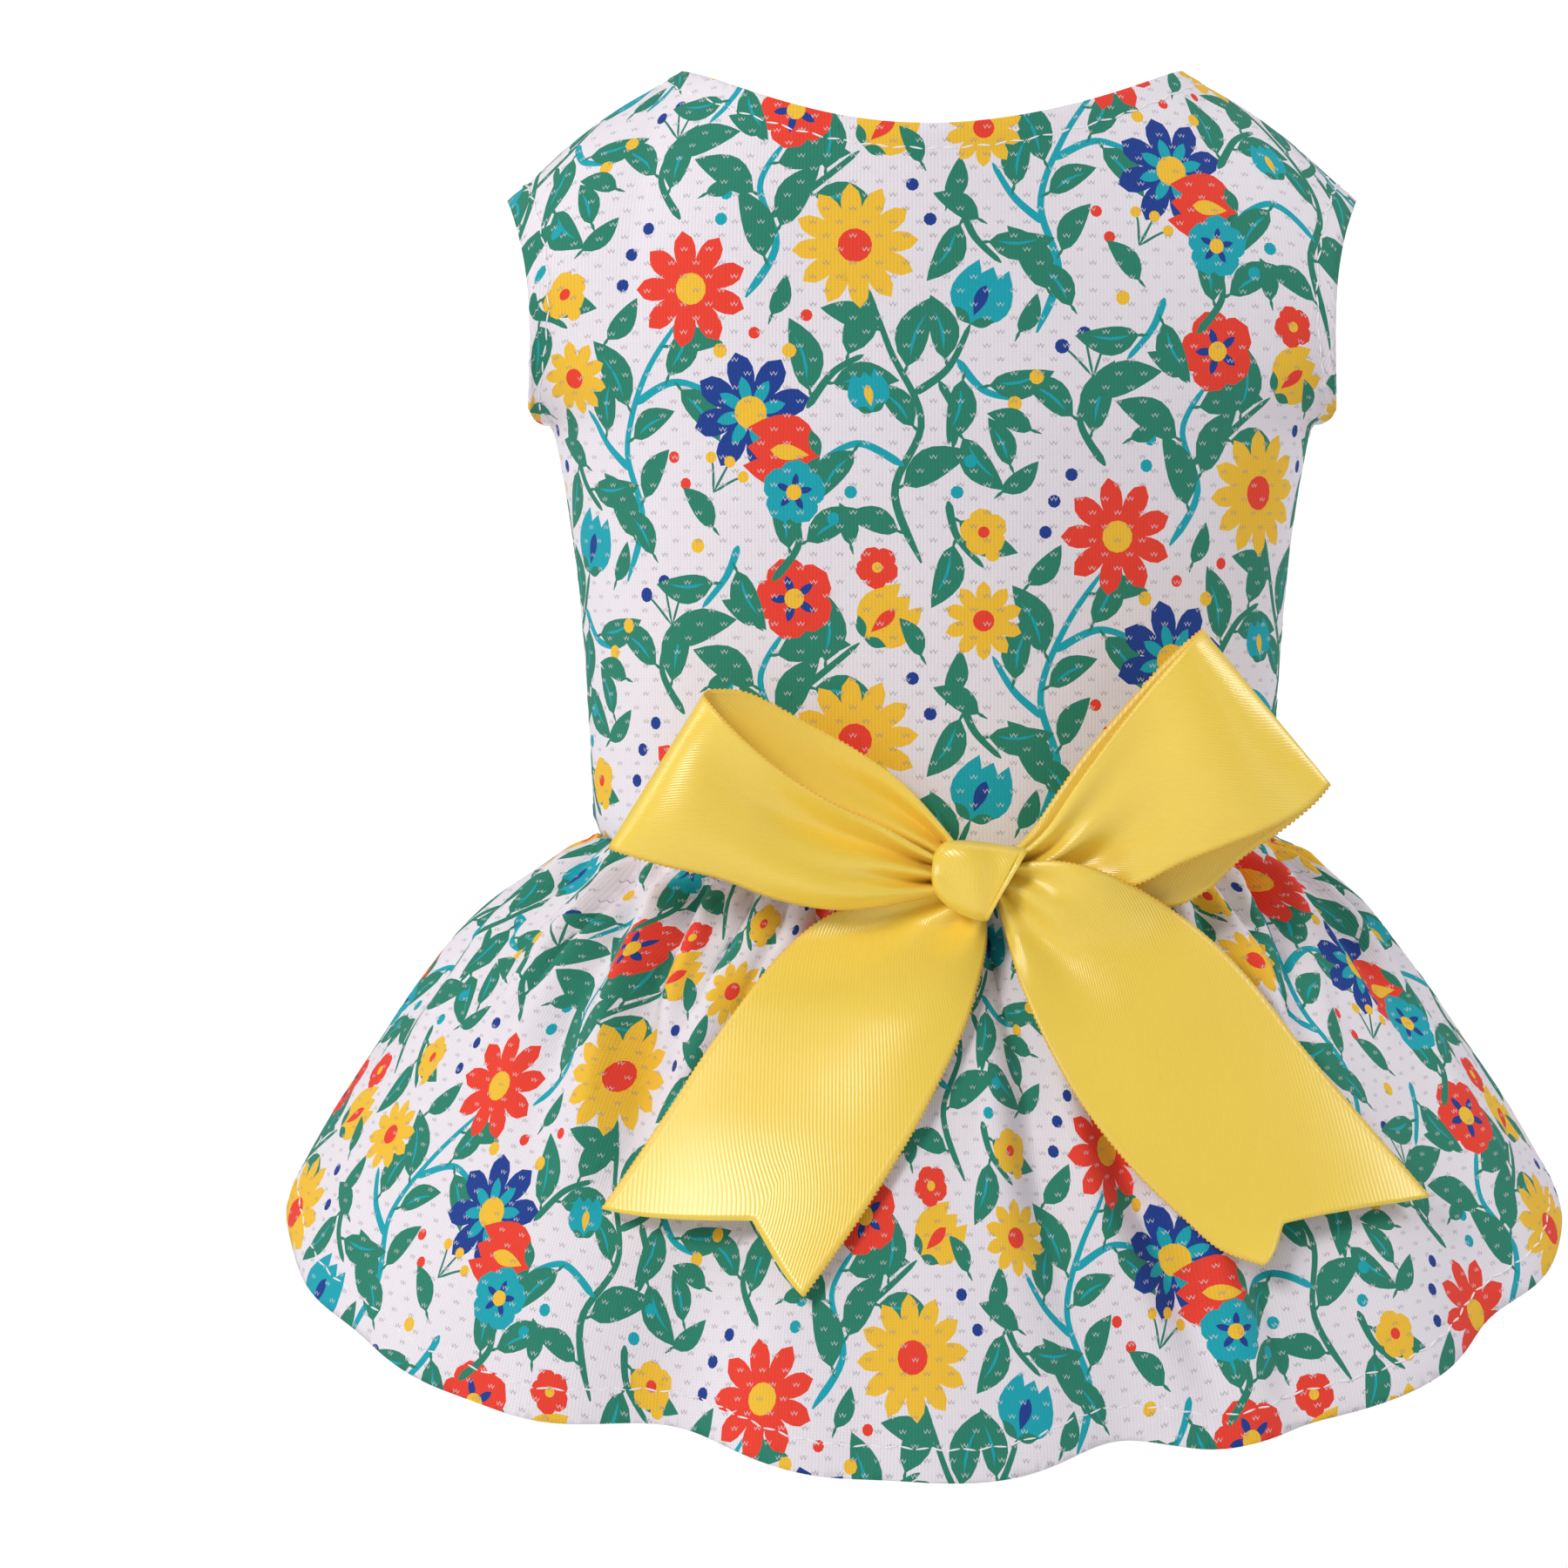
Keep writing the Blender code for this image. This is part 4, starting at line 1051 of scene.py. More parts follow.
def eyelets(tree, right, up):
    """1 inside the small w-shaped holes and 0 between them."""
    row = maths(tree, "DIVIDE", up, EYELET_ROW)
    shift = maths(tree, "MULTIPLY", maths(tree, "FLOORED_MODULO", maths(tree, "FLOOR", row), 2.0), 0.5)
    cell = maths(tree, "FRACT", maths(tree, "ADD", maths(tree, "DIVIDE", right, EYELET_PITCH), shift))
    x = maths(tree, "ABSOLUTE", maths(tree, "MULTIPLY", maths(tree, "SUBTRACT", cell, 0.5), EYELET_PITCH))
    y = maths(tree, "MULTIPLY", maths(tree, "SUBTRACT", maths(tree, "FRACT", row), 0.5), EYELET_ROW)
    stroke = maths(tree, "PINGPONG", x, EYELET_HALF_WIDTH / 2)
    stroke = maths(tree, "MULTIPLY", stroke, -4 * EYELET_HALF_HEIGHT / EYELET_HALF_WIDTH)
    stroke = maths(tree, "ADD", stroke, EYELET_HALF_HEIGHT)
    away = maths(tree, "ABSOLUTE", maths(tree, "SUBTRACT", y, stroke))
    near = maths(tree, "MULTIPLY", maths(tree, "SUBTRACT", EYELET_STROKE, away), 12.0)
    inside = maths(tree, "MULTIPLY", maths(tree, "SUBTRACT", EYELET_HALF_WIDTH, x), 10.0)
    both = maths(tree, "MINIMUM", maths(tree, "MINIMUM", near, inside), 1.0)
    return maths(tree, "MAXIMUM", both, 0.0)


def knit(name, ghost):
    """The knit's material. Ghost is how much of the print is lost, 0 on the face of the cloth."""
    made, tree, shader = new_material(name, (0.86, 0.80, 0.84), 0.82)
    right, up = cloth_coordinates(tree, "flat_cloth")
    ink = tree.nodes.new("ShaderNodeAttribute")
    ink.attribute_name = "print"
    colour = blend_colours(tree, ghost, ink.outputs["Color"], GHOST_GROUND)
    holes = eyelets(tree, right, up)
    rib = maths(tree, "SINE", maths(tree, "MULTIPLY", right, 2 * math.pi / RIB_PITCH))
    course = maths(tree, "SINE", maths(tree, "MULTIPLY", up, 2 * math.pi / (0.8 * RIB_PITCH)))
    weave = maths(tree, "ADD", rib, maths(tree, "MULTIPLY", course, 0.35))
    worn = maths(tree, "MULTIPLY", maths(tree, "SUBTRACT", soft_noise(tree, 45.0), 0.5), 0.5)
    # Painted shade: the ribs' and courses' valleys darken the colour towards deep, along with a random tone from the
    # noise and a small even darkening.
    shade = maths(tree, "MULTIPLY", maths(tree, "ADD", weave, worn), 0.09)
    shade = maths(tree, "MAXIMUM", maths(tree, "ADD", shade, 0.05), 0.0)
    pale = maths(tree, "GREATER_THAN", brightness(tree, ink.outputs["Color"]), 0.6)
    # The holes are pale on the dark inks, and painted shade in grey on the pale ground.
    eyelet_colour_and_shade = blend_colours(tree, pale, EYELET_ON_INK, EYELET_SHADE_ON_GROUND)
    deep = blend_colours(tree, 1.0, colour, (0.45, 0.43, 0.50, 1.0), "MULTIPLY")
    colour = blend_colours(tree, shade, colour, deep)
    colour = blend_colours(tree, maths(tree, "MULTIPLY", holes, 0.75), colour, eyelet_colour_and_shade)
    tree.links.new(colour, shader.inputs["Base Color"])
    height = maths(tree, "SUBTRACT", maths(tree, "MULTIPLY", weave, 0.25), maths(tree, "MULTIPLY", holes, 1.2))
    add_bump(tree, shader, height, 0.00012, 0.55)
    shader.inputs["Sheen Weight"].default_value = 0.05
    shader.inputs["Sheen Roughness"].default_value = 0.5
    shader.inputs["Specular IOR Level"].default_value = 0.2
    return made


KNIT = knit("printed_knit_face", 0.0)
KNIT_REVERSE = knit("printed_knit_reverse", 0.78)
print("materials:", KNIT.name, KNIT_REVERSE.name)

# %% [markdown]
# ## The three cloth pieces
#
# Near the waist seam the skirt is cut into finer triangles, because its gathers are only a few
# millimetres wide.

# %% Back panel, belly panel and skirt
PANEL_SPACING = 2.4 * MM
SKIRT_SPACING = 2.5 * MM
GATHER_SPACING = 1.5 * MM
GATHER_ZONE = 30.0 * MM
BACK_SHIFT = (8.0 * MM, -6.0 * MM)
BELLY_SHIFT = (52.0 * MM, -40.0 * MM)
SKIRT_SHIFT = (20.0 * MM, -18.0 * MM)
TURNED_GAP = 0.15 * MM


def closed_outline(edges):
    """One outline from edges that follow each other."""
    return np.concatenate([edge[:-1] for edge in edges.values()])


def panel_piece(name, facing, shift, surface):
    outline = closed_outline(EDGES[facing])
    fill = fill_points(outline.min(axis=0), outline.max(axis=0), PANEL_SPACING)
    return printed_piece(name, outline, fill, shift, surface)


back = panel_piece("back_panel_cloth", -1, BACK_SHIFT, back_surface)
belly = panel_piece("belly_panel_cloth", 1, BELLY_SHIFT, belly_surface)

seam_rights = np.linspace(-SKIRT_CUT_WIDTH / 2, SKIRT_CUT_WIDTH / 2, round(SKIRT_CUT_WIDTH / GATHER_SPACING) + 1)
hem_rights = seam_rights[::-1]
skirt_deepest = skirt_lengths.max()
seam_line = np.column_stack([seam_rights, np.zeros(len(seam_rights))])
hem_edge = np.column_stack([hem_rights, -skirt_length(hem_rights)])
side_steps = np.linspace(0, 1, 50)[1:-1, None]
left_end = mix(seam_line[:1], hem_edge[-1:], side_steps)
right_end = mix(hem_edge[:1], seam_line[-1:], side_steps)
skirt_outline = np.concatenate([seam_line, right_end[::-1], hem_edge, left_end[::-1]])
skirt_fill = np.concatenate([
    fill_points((-SKIRT_CUT_WIDTH / 2, -GATHER_ZONE), (SKIRT_CUT_WIDTH / 2, 0), GATHER_SPACING),
    fill_points((-SKIRT_CUT_WIDTH / 2, -skirt_deepest), (SKIRT_CUT_WIDTH / 2, -GATHER_ZONE), SKIRT_SPACING),
])
skirt = printed_piece("skirt_cloth", skirt_outline, skirt_fill, SKIRT_SHIFT, skirt_surface)

# %% [markdown]
# ## Turned hems
#
# At the neck, the leg holes and the skirt's hem the cloth is folded to the inside and stitched
# down. From inside, or from below, this shows as a band of printed cloth along the edge. Each band
# is cut from the same flat cloth and lies just within its piece.

# %% Hem bands
BAND_STEPS = 4


def band_outline(edge, towards, width):
    """A flat strip of this width along an edge, on the side where towards lies."""
    ahead = np.gradient(edge, axis=0)
    side = np.column_stack([-ahead[:, 1], ahead[:, 0]]) / np.linalg.norm(ahead, axis=1, keepdims=True)
    if np.sum((towards - edge[len(edge) // 2]) * side[len(edge) // 2]) < 0:
        side = -side
    return np.concatenate([edge, (edge + side * width)[::-1]])


def hem_band(name, edge, towards, width, shift, surface):
    outline = band_outline(edge, towards, width)
    fill = fill_points(outline.min(axis=0), outline.max(axis=0), width / BAND_STEPS * 2)
    return printed_piece(name, outline, fill, shift, surface, turned_in=True)


CENTRE = np.array([0.0, -40 * MM])
bands = {"back": [], "belly": [], "skirt": []}
for label, facing, shift, surface in (
    ("back", -1, BACK_SHIFT, back_surface),
    ("belly", 1, BELLY_SHIFT, belly_surface),
):
    edges = EDGES[facing]
    bands[label].append(hem_band(f"{label}_neck_hem", edges["neck"], CENTRE, NECK_HEM, shift, surface))
    for side in ("left", "right"):
        edge = edges[f"{side}_hole"]
        bands[label].append(hem_band(f"{label}_{side}_hole_hem", edge, CENTRE, LEG_HOLE_HEM, shift, surface))
bands["skirt"].append(
    hem_band("skirt_hem_band", hem_edge, np.zeros(2), SKIRT_HEM, SKIRT_SHIFT, skirt_surface)
)
print("hem bands:", sum(len(group) for group in bands.values()))

# %% [markdown]
# ## Stitches
#
# The hems are held by white thread. One stitch is modelled as a short capsule: a small sphere,
# stretched. It is then repeated along a flat line at the hem's width from the edge, each copy
# turned along the line and sunk a little into the cloth, and all copies of a row are one mesh.

# %% One stitch, and rows of it
STITCH_PITCH = 3.3 * MM
STITCH_LENGTH = 2.7 * MM
STITCH_THICKNESS = 0.40 * MM
STITCH_SWAY = 0.45 * MM
THREAD, thread_tree, thread_shader = new_material("sewing_thread", (0.93, 0.91, 0.93), 0.55)
thread_shader.inputs["Sheen Weight"].default_value = 0.3
add_bump(thread_tree, thread_shader, soft_noise(thread_tree, 2500.0), 0.0001, 0.4)


def model_arrays(piece):
    """Points and faces of a small model, which is then deleted."""
    points = np.array([v.co for v in piece.data.vertices])
    faces = [tuple(polygon.vertices) for polygon in piece.data.polygons]
    bpy.data.objects.remove(piece, do_unlink=True)
    return points, faces


bpy.ops.object.select_all(action="DESELECT")
bpy.ops.mesh.primitive_uv_sphere_add(segments=8, ring_count=5, radius=0.5)
bpy.ops.transform.resize(value=(STITCH_THICKNESS, STITCH_THICKNESS, STITCH_LENGTH))
bpy.ops.object.transform_apply(location=True, rotation=True, scale=True)
STITCH = model_arrays(bpy.context.object)
print("one stitch has", len(STITCH[1]), "faces")


def copies_along(name, model, middles, directions, normals, material):
    """One mesh of a model's copies: its z runs along each direction, its y along each normal."""
    points, faces = model
    directions = directions / np.linalg.norm(directions, axis=1, keepdims=True)
    sides = np.cross(normals, directions)
    sides /= np.linalg.norm(sides, axis=1, keepdims=True)
    ups = np.cross(directions, sides)
    placed_points = (
        middles[:, None]
        + points[None, :, 0:1] * sides[:, None]
        + points[None, :, 1:2] * ups[:, None]
        + points[None, :, 2:3] * directions[:, None]
    ).reshape(-1, 3)
    all_faces = [tuple(v + n * len(points) for v in face) for n in range(len(middles)) for face in faces]
    mesh = bpy.data.meshes.new(name)
    mesh.from_pydata(placed_points.tolist(), [], all_faces)
    mesh.materials.append(material)
    mesh.shade_smooth()
    piece = bpy.data.objects.new(name, mesh)
    bpy.context.scene.collection.objects.link(piece)
    return piece


def spaced_along(line, pitch):
    """Evenly spaced places on a line, and the way the line runs there."""
    run = np.concatenate([[0], np.cumsum(np.linalg.norm(np.diff(line, axis=0), axis=1))])
    count = max(2, round(run[-1] / pitch))
    places = (np.arange(count) + 0.5) / count * run[-1]
    at = np.column_stack([np.interp(places, run, line[:, axis]) for axis in range(line.shape[1])])
    ahead = np.column_stack([np.interp(places + pitch / 4, run, line[:, axis]) for axis in range(line.shape[1])])
    back_step = np.column_stack([np.interp(places - pitch / 4, run, line[:, axis]) for axis in range(line.shape[1])])
    return at, ahead - back_step


def sew(name, edge, towards, inside, surface):
    """A row of stitches this far inside an edge."""
    outline = band_outline(edge, towards, inside)
    line = outline[len(edge) :]
    flat, ahead = spaced_along(line, STITCH_PITCH)
    ahead /= np.linalg.norm(ahead, axis=1, keepdims=True)
    step = STITCH_SWAY * (-1.0) ** np.arange(len(flat))[:, None]
    ahead = ahead + step / STITCH_LENGTH * np.column_stack([-ahead[:, 1], ahead[:, 0]])
    start = surface(flat - ahead * STITCH_LENGTH / 2)[0]
    end = surface(flat + ahead * STITCH_LENGTH / 2)[0]
    normals = surface(flat)[1]
    middles = (start + end) / 2 + normals * STITCH_THICKNESS * 0.22
    return copies_along(name, STITCH, middles, end - start, normals, THREAD)


stitches = {"back": [], "belly": [], "skirt": []}
for label, facing, surface in (("back", -1, back_surface), ("belly", 1, belly_surface)):
    edges = EDGES[facing]
    stitches[label].append(sew(f"{label}_neck_stitches", edges["neck"], CENTRE, NECK_HEM, surface))
    for side in ("left", "right"):
        name = f"{label}_{side}_hole_stitches"
        stitches[label].append(sew(name, edges[f"{side}_hole"], CENTRE, LEG_HOLE_HEM, surface))
stitches["skirt"].append(sew("skirt_hem_stitches", hem_edge, np.zeros(2), SKIRT_HEM, skirt_surface))
print("rows of stitches:", sum(len(group) for group in stitches.values()))

# %% [markdown]
# ## The satin bow
#
# The bow is a length of wide satin ribbon. Each loop and tail is a grid that is bent: a table gives
# the two selvedges as they run away from the knot, right and up from the knot's middle and out
# from the dress, in millimetres, with how far the middle bulges and rolls between them. Smooth
# curves through these rows make the ribbon. A loop's rows run out along its front layer, round the
# end and back along its back layer.

# %% The ribbon and where it sits
RIBBON_WIDTH = 40.0 * MM
RIBBON_SHOWN = 0.45 * MM
KNOT_X = 8.8 * MM
KNOT_Z = -110.5 * MM
KNOT_HEIGHT = 14.0 * MM
SEAT_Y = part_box("bow_knot")[1][1]
BowRow = namedtuple("BowRow", "up_x up_z up_out low_x low_z low_out bulge roll")
Notch = namedtuple("Notch", "depth across")
Ribbon = namedtuple("Ribbon", "rows layers pleats notch", defaults=(None,))
LEFT_LOOP = Ribbon(
    layers=2,
    pleats=1.0,
    rows=(
        BowRow(-5.5, 3.0, 6.5, -5.0, -2.0, 6.0, 0.0, 0.0),
        BowRow(-12.0, 6.6, 9.0, -12.5, -3.6, 7.5, 0.6, 0.9),
        BowRow(-19.7, 11.0, 12.0, -20.0, -5.0, 9.0, 0.2, 2.2),
        BowRow(-28.4, 15.0, 14.5, -29.0, -5.4, 10.0, -0.4, 3.0),
        BowRow(-37.0, 20.2, 16.0, -39.5, -3.4, 11.0, -0.4, 2.6),
        BowRow(-44.0, 25.8, 17.0, -50.5, 0.6, 12.0, 0.3, 1.6),
        BowRow(-49.5, 31.2, 16.8, -61.0, 3.0, 12.5, 0.8, 0.8),
        BowRow(-52.4, 34.6, 14.5, -69.0, 5.4, 11.0, 0.8, 0.3),
        BowRow(-53.2, 36.0, 10.5, -71.4, 6.6, 7.5, 0.2, 0.0),
        BowRow(-51.0, 36.9, 7.0, -69.0, 7.6, 4.5, 0.0, 0.0),
        BowRow(-44.0, 36.0, 5.0, -61.0, 7.0, 3.0, 0.0, 0.0),
        BowRow(-32.6, 30.1, 4.4, -47.0, 4.5, 2.6, 0.3, 0.0),
        BowRow(-24.0, 25.3, 4.6, -34.0, 2.5, 2.6, 0.5, 0.0),
        BowRow(-15.3, 19.2, 5.0, -22.0, 1.5, 3.0, 0.5, 0.0),
        BowRow(-8.8, 12.4, 5.6, -12.0, 0.8, 4.0, 0.3, 0.0),
        BowRow(-4.0, 6.4, 5.5, -5.0, 0.5, 4.5, 0.0, 0.0),
    ),
)
RIGHT_LOOP = Ribbon(
    layers=2,
    pleats=0.7,
    rows=(
        BowRow(5.5, 3.4, 6.5, 6.0, -1.0, 6.0, 0.0, 0.0),
        BowRow(12.4, 9.2, 8.5, 16.0, -2.0, 6.5, 0.3, -0.6),
        BowRow(18.6, 18.0, 11.5, 24.5, -1.8, 8.0, -1.6, -1.2),
        BowRow(25.8, 28.0, 13.8, 31.3, -0.3, 10.0, -1.2, -0.6),
        BowRow(31.3, 35.0, 15.0, 38.8, 3.4, 12.0, 0.2, 0.0),
        BowRow(36.2, 40.8, 16.0, 46.9, 6.6, 13.8, 1.2, 0.2),
        BowRow(40.0, 45.0, 15.6, 55.3, 9.9, 14.2, 1.6, 0.2),
        BowRow(42.0, 47.3, 13.2, 62.8, 13.8, 12.6, 1.4, 0.0),
        BowRow(43.1, 48.4, 9.4, 67.7, 18.6, 9.0, 0.6, 0.0),
        BowRow(41.4, 47.2, 6.2, 64.4, 14.6, 6.0, 0.2, 0.0),
        BowRow(36.0, 42.3, 4.6, 57.4, 9.0, 4.4, 0.0, 0.0),
        BowRow(28.6, 34.0, 3.9, 51.0, 4.6, 3.4, 0.0, 0.0),
        BowRow(21.6, 25.8, 3.7, 44.0, -1.8, 2.8, 0.2, 0.0),
        BowRow(15.4, 17.2, 3.8, 36.0, -5.2, 2.8, 0.3, 0.0),
        BowRow(10.2, 9.6, 4.2, 22.0, -5.0, 3.4, 0.2, 0.0),
        BowRow(5.0, 4.4, 4.6, 6.0, -2.0, 4.0, 0.0, 0.0),
    ),
)
LEFT_TAIL = Ribbon(
    layers=1,
    pleats=0.5,
    notch=Notch(0.078, 0.20),
    rows=(
        BowRow(-4.5, -1.5, 4.4, 1.0, -5.4, 4.6, 0.0, 0.0),
        BowRow(-12.0, -2.2, 4.4, 1.4, -10.0, 4.8, 0.6, 0.2),
        BowRow(-22.0, -4.0, 4.2, 0.9, -15.0, 4.8, 1.1, 0.5),
        BowRow(-31.0, -8.0, 3.8, -0.7, -21.5, 4.4, 1.3, 0.9),
        BowRow(-39.0, -15.0, 3.3, -3.0, -28.5, 3.8, 0.9, 1.0),
        BowRow(-46.0, -23.8, 2.9, -7.0, -37.0, 3.2, 0.3, 0.7),
        BowRow(-52.5, -32.8, 2.7, -12.3, -47.2, 2.8, 0.0, 0.3),
        BowRow(-59.0, -42.8, 2.6, -18.3, -57.2, 2.6, 0.2, 0.0),
        BowRow(-65.6, -52.8, 2.6, -25.0, -67.5, 2.6, 0.3, 0.0),
        BowRow(-72.8, -63.2, 2.8, -34.0, -79.9, 3.0, 0.0, 0.0),
    ),
)
RIGHT_TAIL = Ribbon(
    layers=1,
    pleats=0.5,
    notch=Notch(0.080, 0.36),
    rows=(
        BowRow(5.6, 3.0, 9.0, 3.6, -4.0, 8.4, 0.0, 0.0),
        BowRow(14.0, 3.8, 11.5, 5.6, -11.5, 8.0, 0.7, 0.0),
        BowRow(22.3, 2.2, 13.4, 7.6, -18.5, 7.0, 0.6, -0.9),
        BowRow(30.0, -1.2, 13.6, 10.8, -26.5, 6.0, -0.8, -1.5),
        BowRow(38.0, -6.2, 12.2, 14.6, -34.2, 5.0, -1.6, -1.4),
        BowRow(46.0, -12.6, 9.6, 19.0, -41.8, 4.2, -1.4, -0.8),
        BowRow(54.0, -21.2, 6.8, 24.8, -49.8, 3.4, -0.6, 0.0),
        BowRow(62.0, -31.6, 4.6, 31.4, -57.4, 2.9, 0.2, 0.0),
        BowRow(70.5, -41.8, 3.3, 38.8, -64.4, 2.8, 0.6, 0.0),
        BowRow(79.2, -51.9, 2.9, 46.2, -70.8, 3.4, 0.6, 0.0),
        BowRow(87.3, -61.2, 2.9, 54.8, -74.0, 5.4, 0.0, 0.0),
    ),
)
PLEAT_REACH = 34.0
PLEAT_WAVES = 2.5


def front_of_dress(x, z):
    """The y of the dress behind the bow, without folds."""
    drop = np.zeros_like(x)
    for _ in range(24):
        half_width = mix(WAIST_WIDTH, HEM_WIDTH, smooth_read(SKIRT_SPREADS, drop)) / 2
        turn = np.arcsin(np.clip(x / half_width, -0.98, 0.98))
        drop = np.clip((z - waist_height(turn)) / (hem_height(turn) - waist_height(turn)), 0, 1)
    on_skirt = skirt_shape(turn, drop, folds=0.0)[0][..., 1]
    rise = (z - waist_height(turn)) / (-LEG_HOLE_HEIGHT / 2 - waist_height(turn))
    swell = np.clip(rise, 0, 1) ** CHEST_SWELL
    share = x / (mix(WAIST_WIDTH, CHEST_WIDTH, swell) / 2)
    on_bodice = -mix(WAIST_DEPTH, CHEST_DEPTH, swell) / 2 * np.sqrt(np.clip(1 - share**2, 0, 1))
    return np.where(drop > 0, on_skirt, on_bodice)


# %% Bend a grid into a ribbon
RIBBON_COLUMNS = 40
TAIL_HANG = (0.1, 0.5)
NOTCH_START = 0.72


def ribbon_points(ribbon, along, across):
    """Points of a ribbon: along from 0 to 1 over its rows, across from -1 to 1 between its selvedges."""
    values = smooth_read(np.array(ribbon.rows), along)
    share = (across + 1) / 2
    x, z, out = (mix(values[:, n], values[:, n + 3], share) for n in range(3))
    out = out + values[:, 6] * (1 - across**2) + values[:, 7] * np.sin(math.pi * across)
    ends = np.minimum(along, 1 - along) if ribbon.layers == 2 else along
    width = np.linalg.norm(values[:, :3] - values[:, 3:6], axis=1)
    spare = np.maximum(RIBBON_WIDTH / MM - width, 0) / (4 * PLEAT_WAVES)
    reach = np.exp(-((np.hypot(x, z) / PLEAT_REACH) ** 2))
    out = out + ribbon.pleats * spare * reach * np.cos(PLEAT_WAVES * math.pi * across + 0.6 + 0.8 * ends)
    x = KNOT_X + x * MM
    z = KNOT_Z + z * MM
    behind = np.full_like(x, SEAT_Y)
    if ribbon.layers == 1:
        dress = front_of_dress(x, z)
        hang = ease((along - TAIL_HANG[0]) / (TAIL_HANG[1] - TAIL_HANG[0]))
        behind = mix(np.minimum(SEAT_Y, dress), dress, hang)
    return np.column_stack([x, behind - out * MM, z])


def cut_notch(along, across, notch):
    """Shortens a tail towards its V-shaped end."""
    away = np.where(across < notch.across, (across + 1) / (notch.across + 1), (1 - across) / (1 - notch.across))
    return along - notch.depth * away * ease((along - NOTCH_START) / (1 - NOTCH_START))


def ribbon_length(ribbon):
    """Length of a ribbon along its middle."""
    middle = ribbon_points(ribbon, np.linspace(0, 1, 240), np.zeros(240))
    return np.linalg.norm(np.diff(middle, axis=0), axis=1).sum()


def ribbon_piece(name, ribbon, steps):
    """A ribbon from a grid, bent and given its thickness."""
    length = ribbon_length(ribbon)
    bpy.ops.object.select_all(action="DESELECT")
    bpy.ops.mesh.primitive_grid_add(x_subdivisions=RIBBON_COLUMNS, y_subdivisions=steps, size=2)
    piece = bpy.context.object
    piece.name = name
    flat = np.array([v.co[:2] for v in piece.data.vertices])
    across = flat[:, 0]
    along = (flat[:, 1] + 1) / 2
    woven = np.column_stack([across * RIBBON_WIDTH / 2, along * length])
    if ribbon.notch:
        along = cut_notch(along, across, ribbon.notch)
    points = ribbon_points(ribbon, along, across)
    piece.data.vertices.foreach_set("co", points.ravel())
    loops = np.array([loop.vertex_index for loop in piece.data.loops])
    while piece.data.uv_layers:
        piece.data.uv_layers.remove(piece.data.uv_layers[0])
    uv = piece.data.uv_layers.new(name="flat_ribbon")
    uv.data.foreach_set("uv", woven[loops].astype(np.float32).ravel())
    piece.data.materials.append(SATIN)
    piece.data.update()
    bpy.ops.object.shade_smooth()
    apply_modifier(piece, "SOLIDIFY", thickness=RIBBON_SHOWN, offset=0.0)
    print(f"{name}: {len(piece.data.polygons)} faces, cut {1000 * length:.0f} mm long")
    return piece


# %% Satin
SATIN_COLOUR = (1.0, 0.74, 0.09)
SELVEDGE_START = 18.6
SATIN_RIB = 0.62


def satin():
    """Satin ribbon: slanting ribs across it and firmer selvedges."""
    made, tree, shader = new_material("yellow_satin_weave", SATIN_COLOUR, 0.36)
    across, along = cloth_coordinates(tree, "flat_ribbon")
    slant = maths(tree, "SUBTRACT", maths(tree, "MULTIPLY", across, 0.86), maths(tree, "MULTIPLY", along, 0.51))
    rib = maths(tree, "SINE", maths(tree, "MULTIPLY", slant, 2 * math.pi / SATIN_RIB))
    thread = maths(tree, "SINE", maths(tree, "MULTIPLY", along, 2 * math.pi / (0.7 * SATIN_RIB)))
    edge = maths(tree, "MULTIPLY", maths(tree, "SUBTRACT", maths(tree, "ABSOLUTE", across), SELVEDGE_START), 4.0)
    edge = maths(tree, "MAXIMUM", maths(tree, "MINIMUM", edge, 1.0), 0.0)
    streak = soft_noise(tree, 120.0, 4.0)
    # Painted shade along the slanting ribs and the threads, with a darker selvedge band, random streaks and a small
    # even darkening, blends the colour towards a deeper orange.
    shade = maths(tree, "ADD", maths(tree, "MULTIPLY", rib, 0.05), maths(tree, "MULTIPLY", thread, 0.03))
    shade = maths(tree, "ADD", shade, maths(tree, "MULTIPLY", edge, 0.10))
    shade = maths(tree, "ADD", shade, maths(tree, "MULTIPLY", maths(tree, "SUBTRACT", streak, 0.5), 0.12))
    shade = maths(tree, "MAXIMUM", maths(tree, "ADD", shade, 0.10), 0.0)
    colour = blend_colours(tree, shade, (*SATIN_COLOUR, 1.0), (0.88, 0.42, 0.016, 1.0))
    tree.links.new(colour, shader.inputs["Base Color"])
    rough = maths(tree, "ADD", maths(tree, "MULTIPLY", edge, 0.14), maths(tree, "MULTIPLY", rib, 0.04))
    tree.links.new(maths(tree, "ADD", rough, 0.30), shader.inputs["Roughness"])
    height = maths(tree, "ADD", maths(tree, "MULTIPLY", rib, 0.5), maths(tree, "MULTIPLY", edge, 0.8))
    add_bump(tree, shader, height, 0.00008, 0.28)
    shader.inputs["Specular IOR Level"].default_value = 0.85
    shader.inputs["Sheen Weight"].default_value = 0.08
    shader.inputs["Sheen Roughness"].default_value = 0.4
    return made


SATIN = satin()

# %% Loops and tails
loop_left = ribbon_piece("satin_loop_left", LEFT_LOOP, 130)
loop_right = ribbon_piece("satin_loop_right", RIGHT_LOOP, 130)
tail_left = ribbon_piece("satin_tail_left", LEFT_TAIL, 90)
tail_right = ribbon_piece("satin_tail_right", RIGHT_TAIL, 100)

# %% [markdown]
# ## The knot
#
# The knot is a narrower strip, folded from the same ribbon and wrapped once round the loops. It is
# a grid again, whose rows run round the wrap from the back over the top and down the front. A
# table gives the top and foot of each ring from left to right, and one folded edge stands proud.

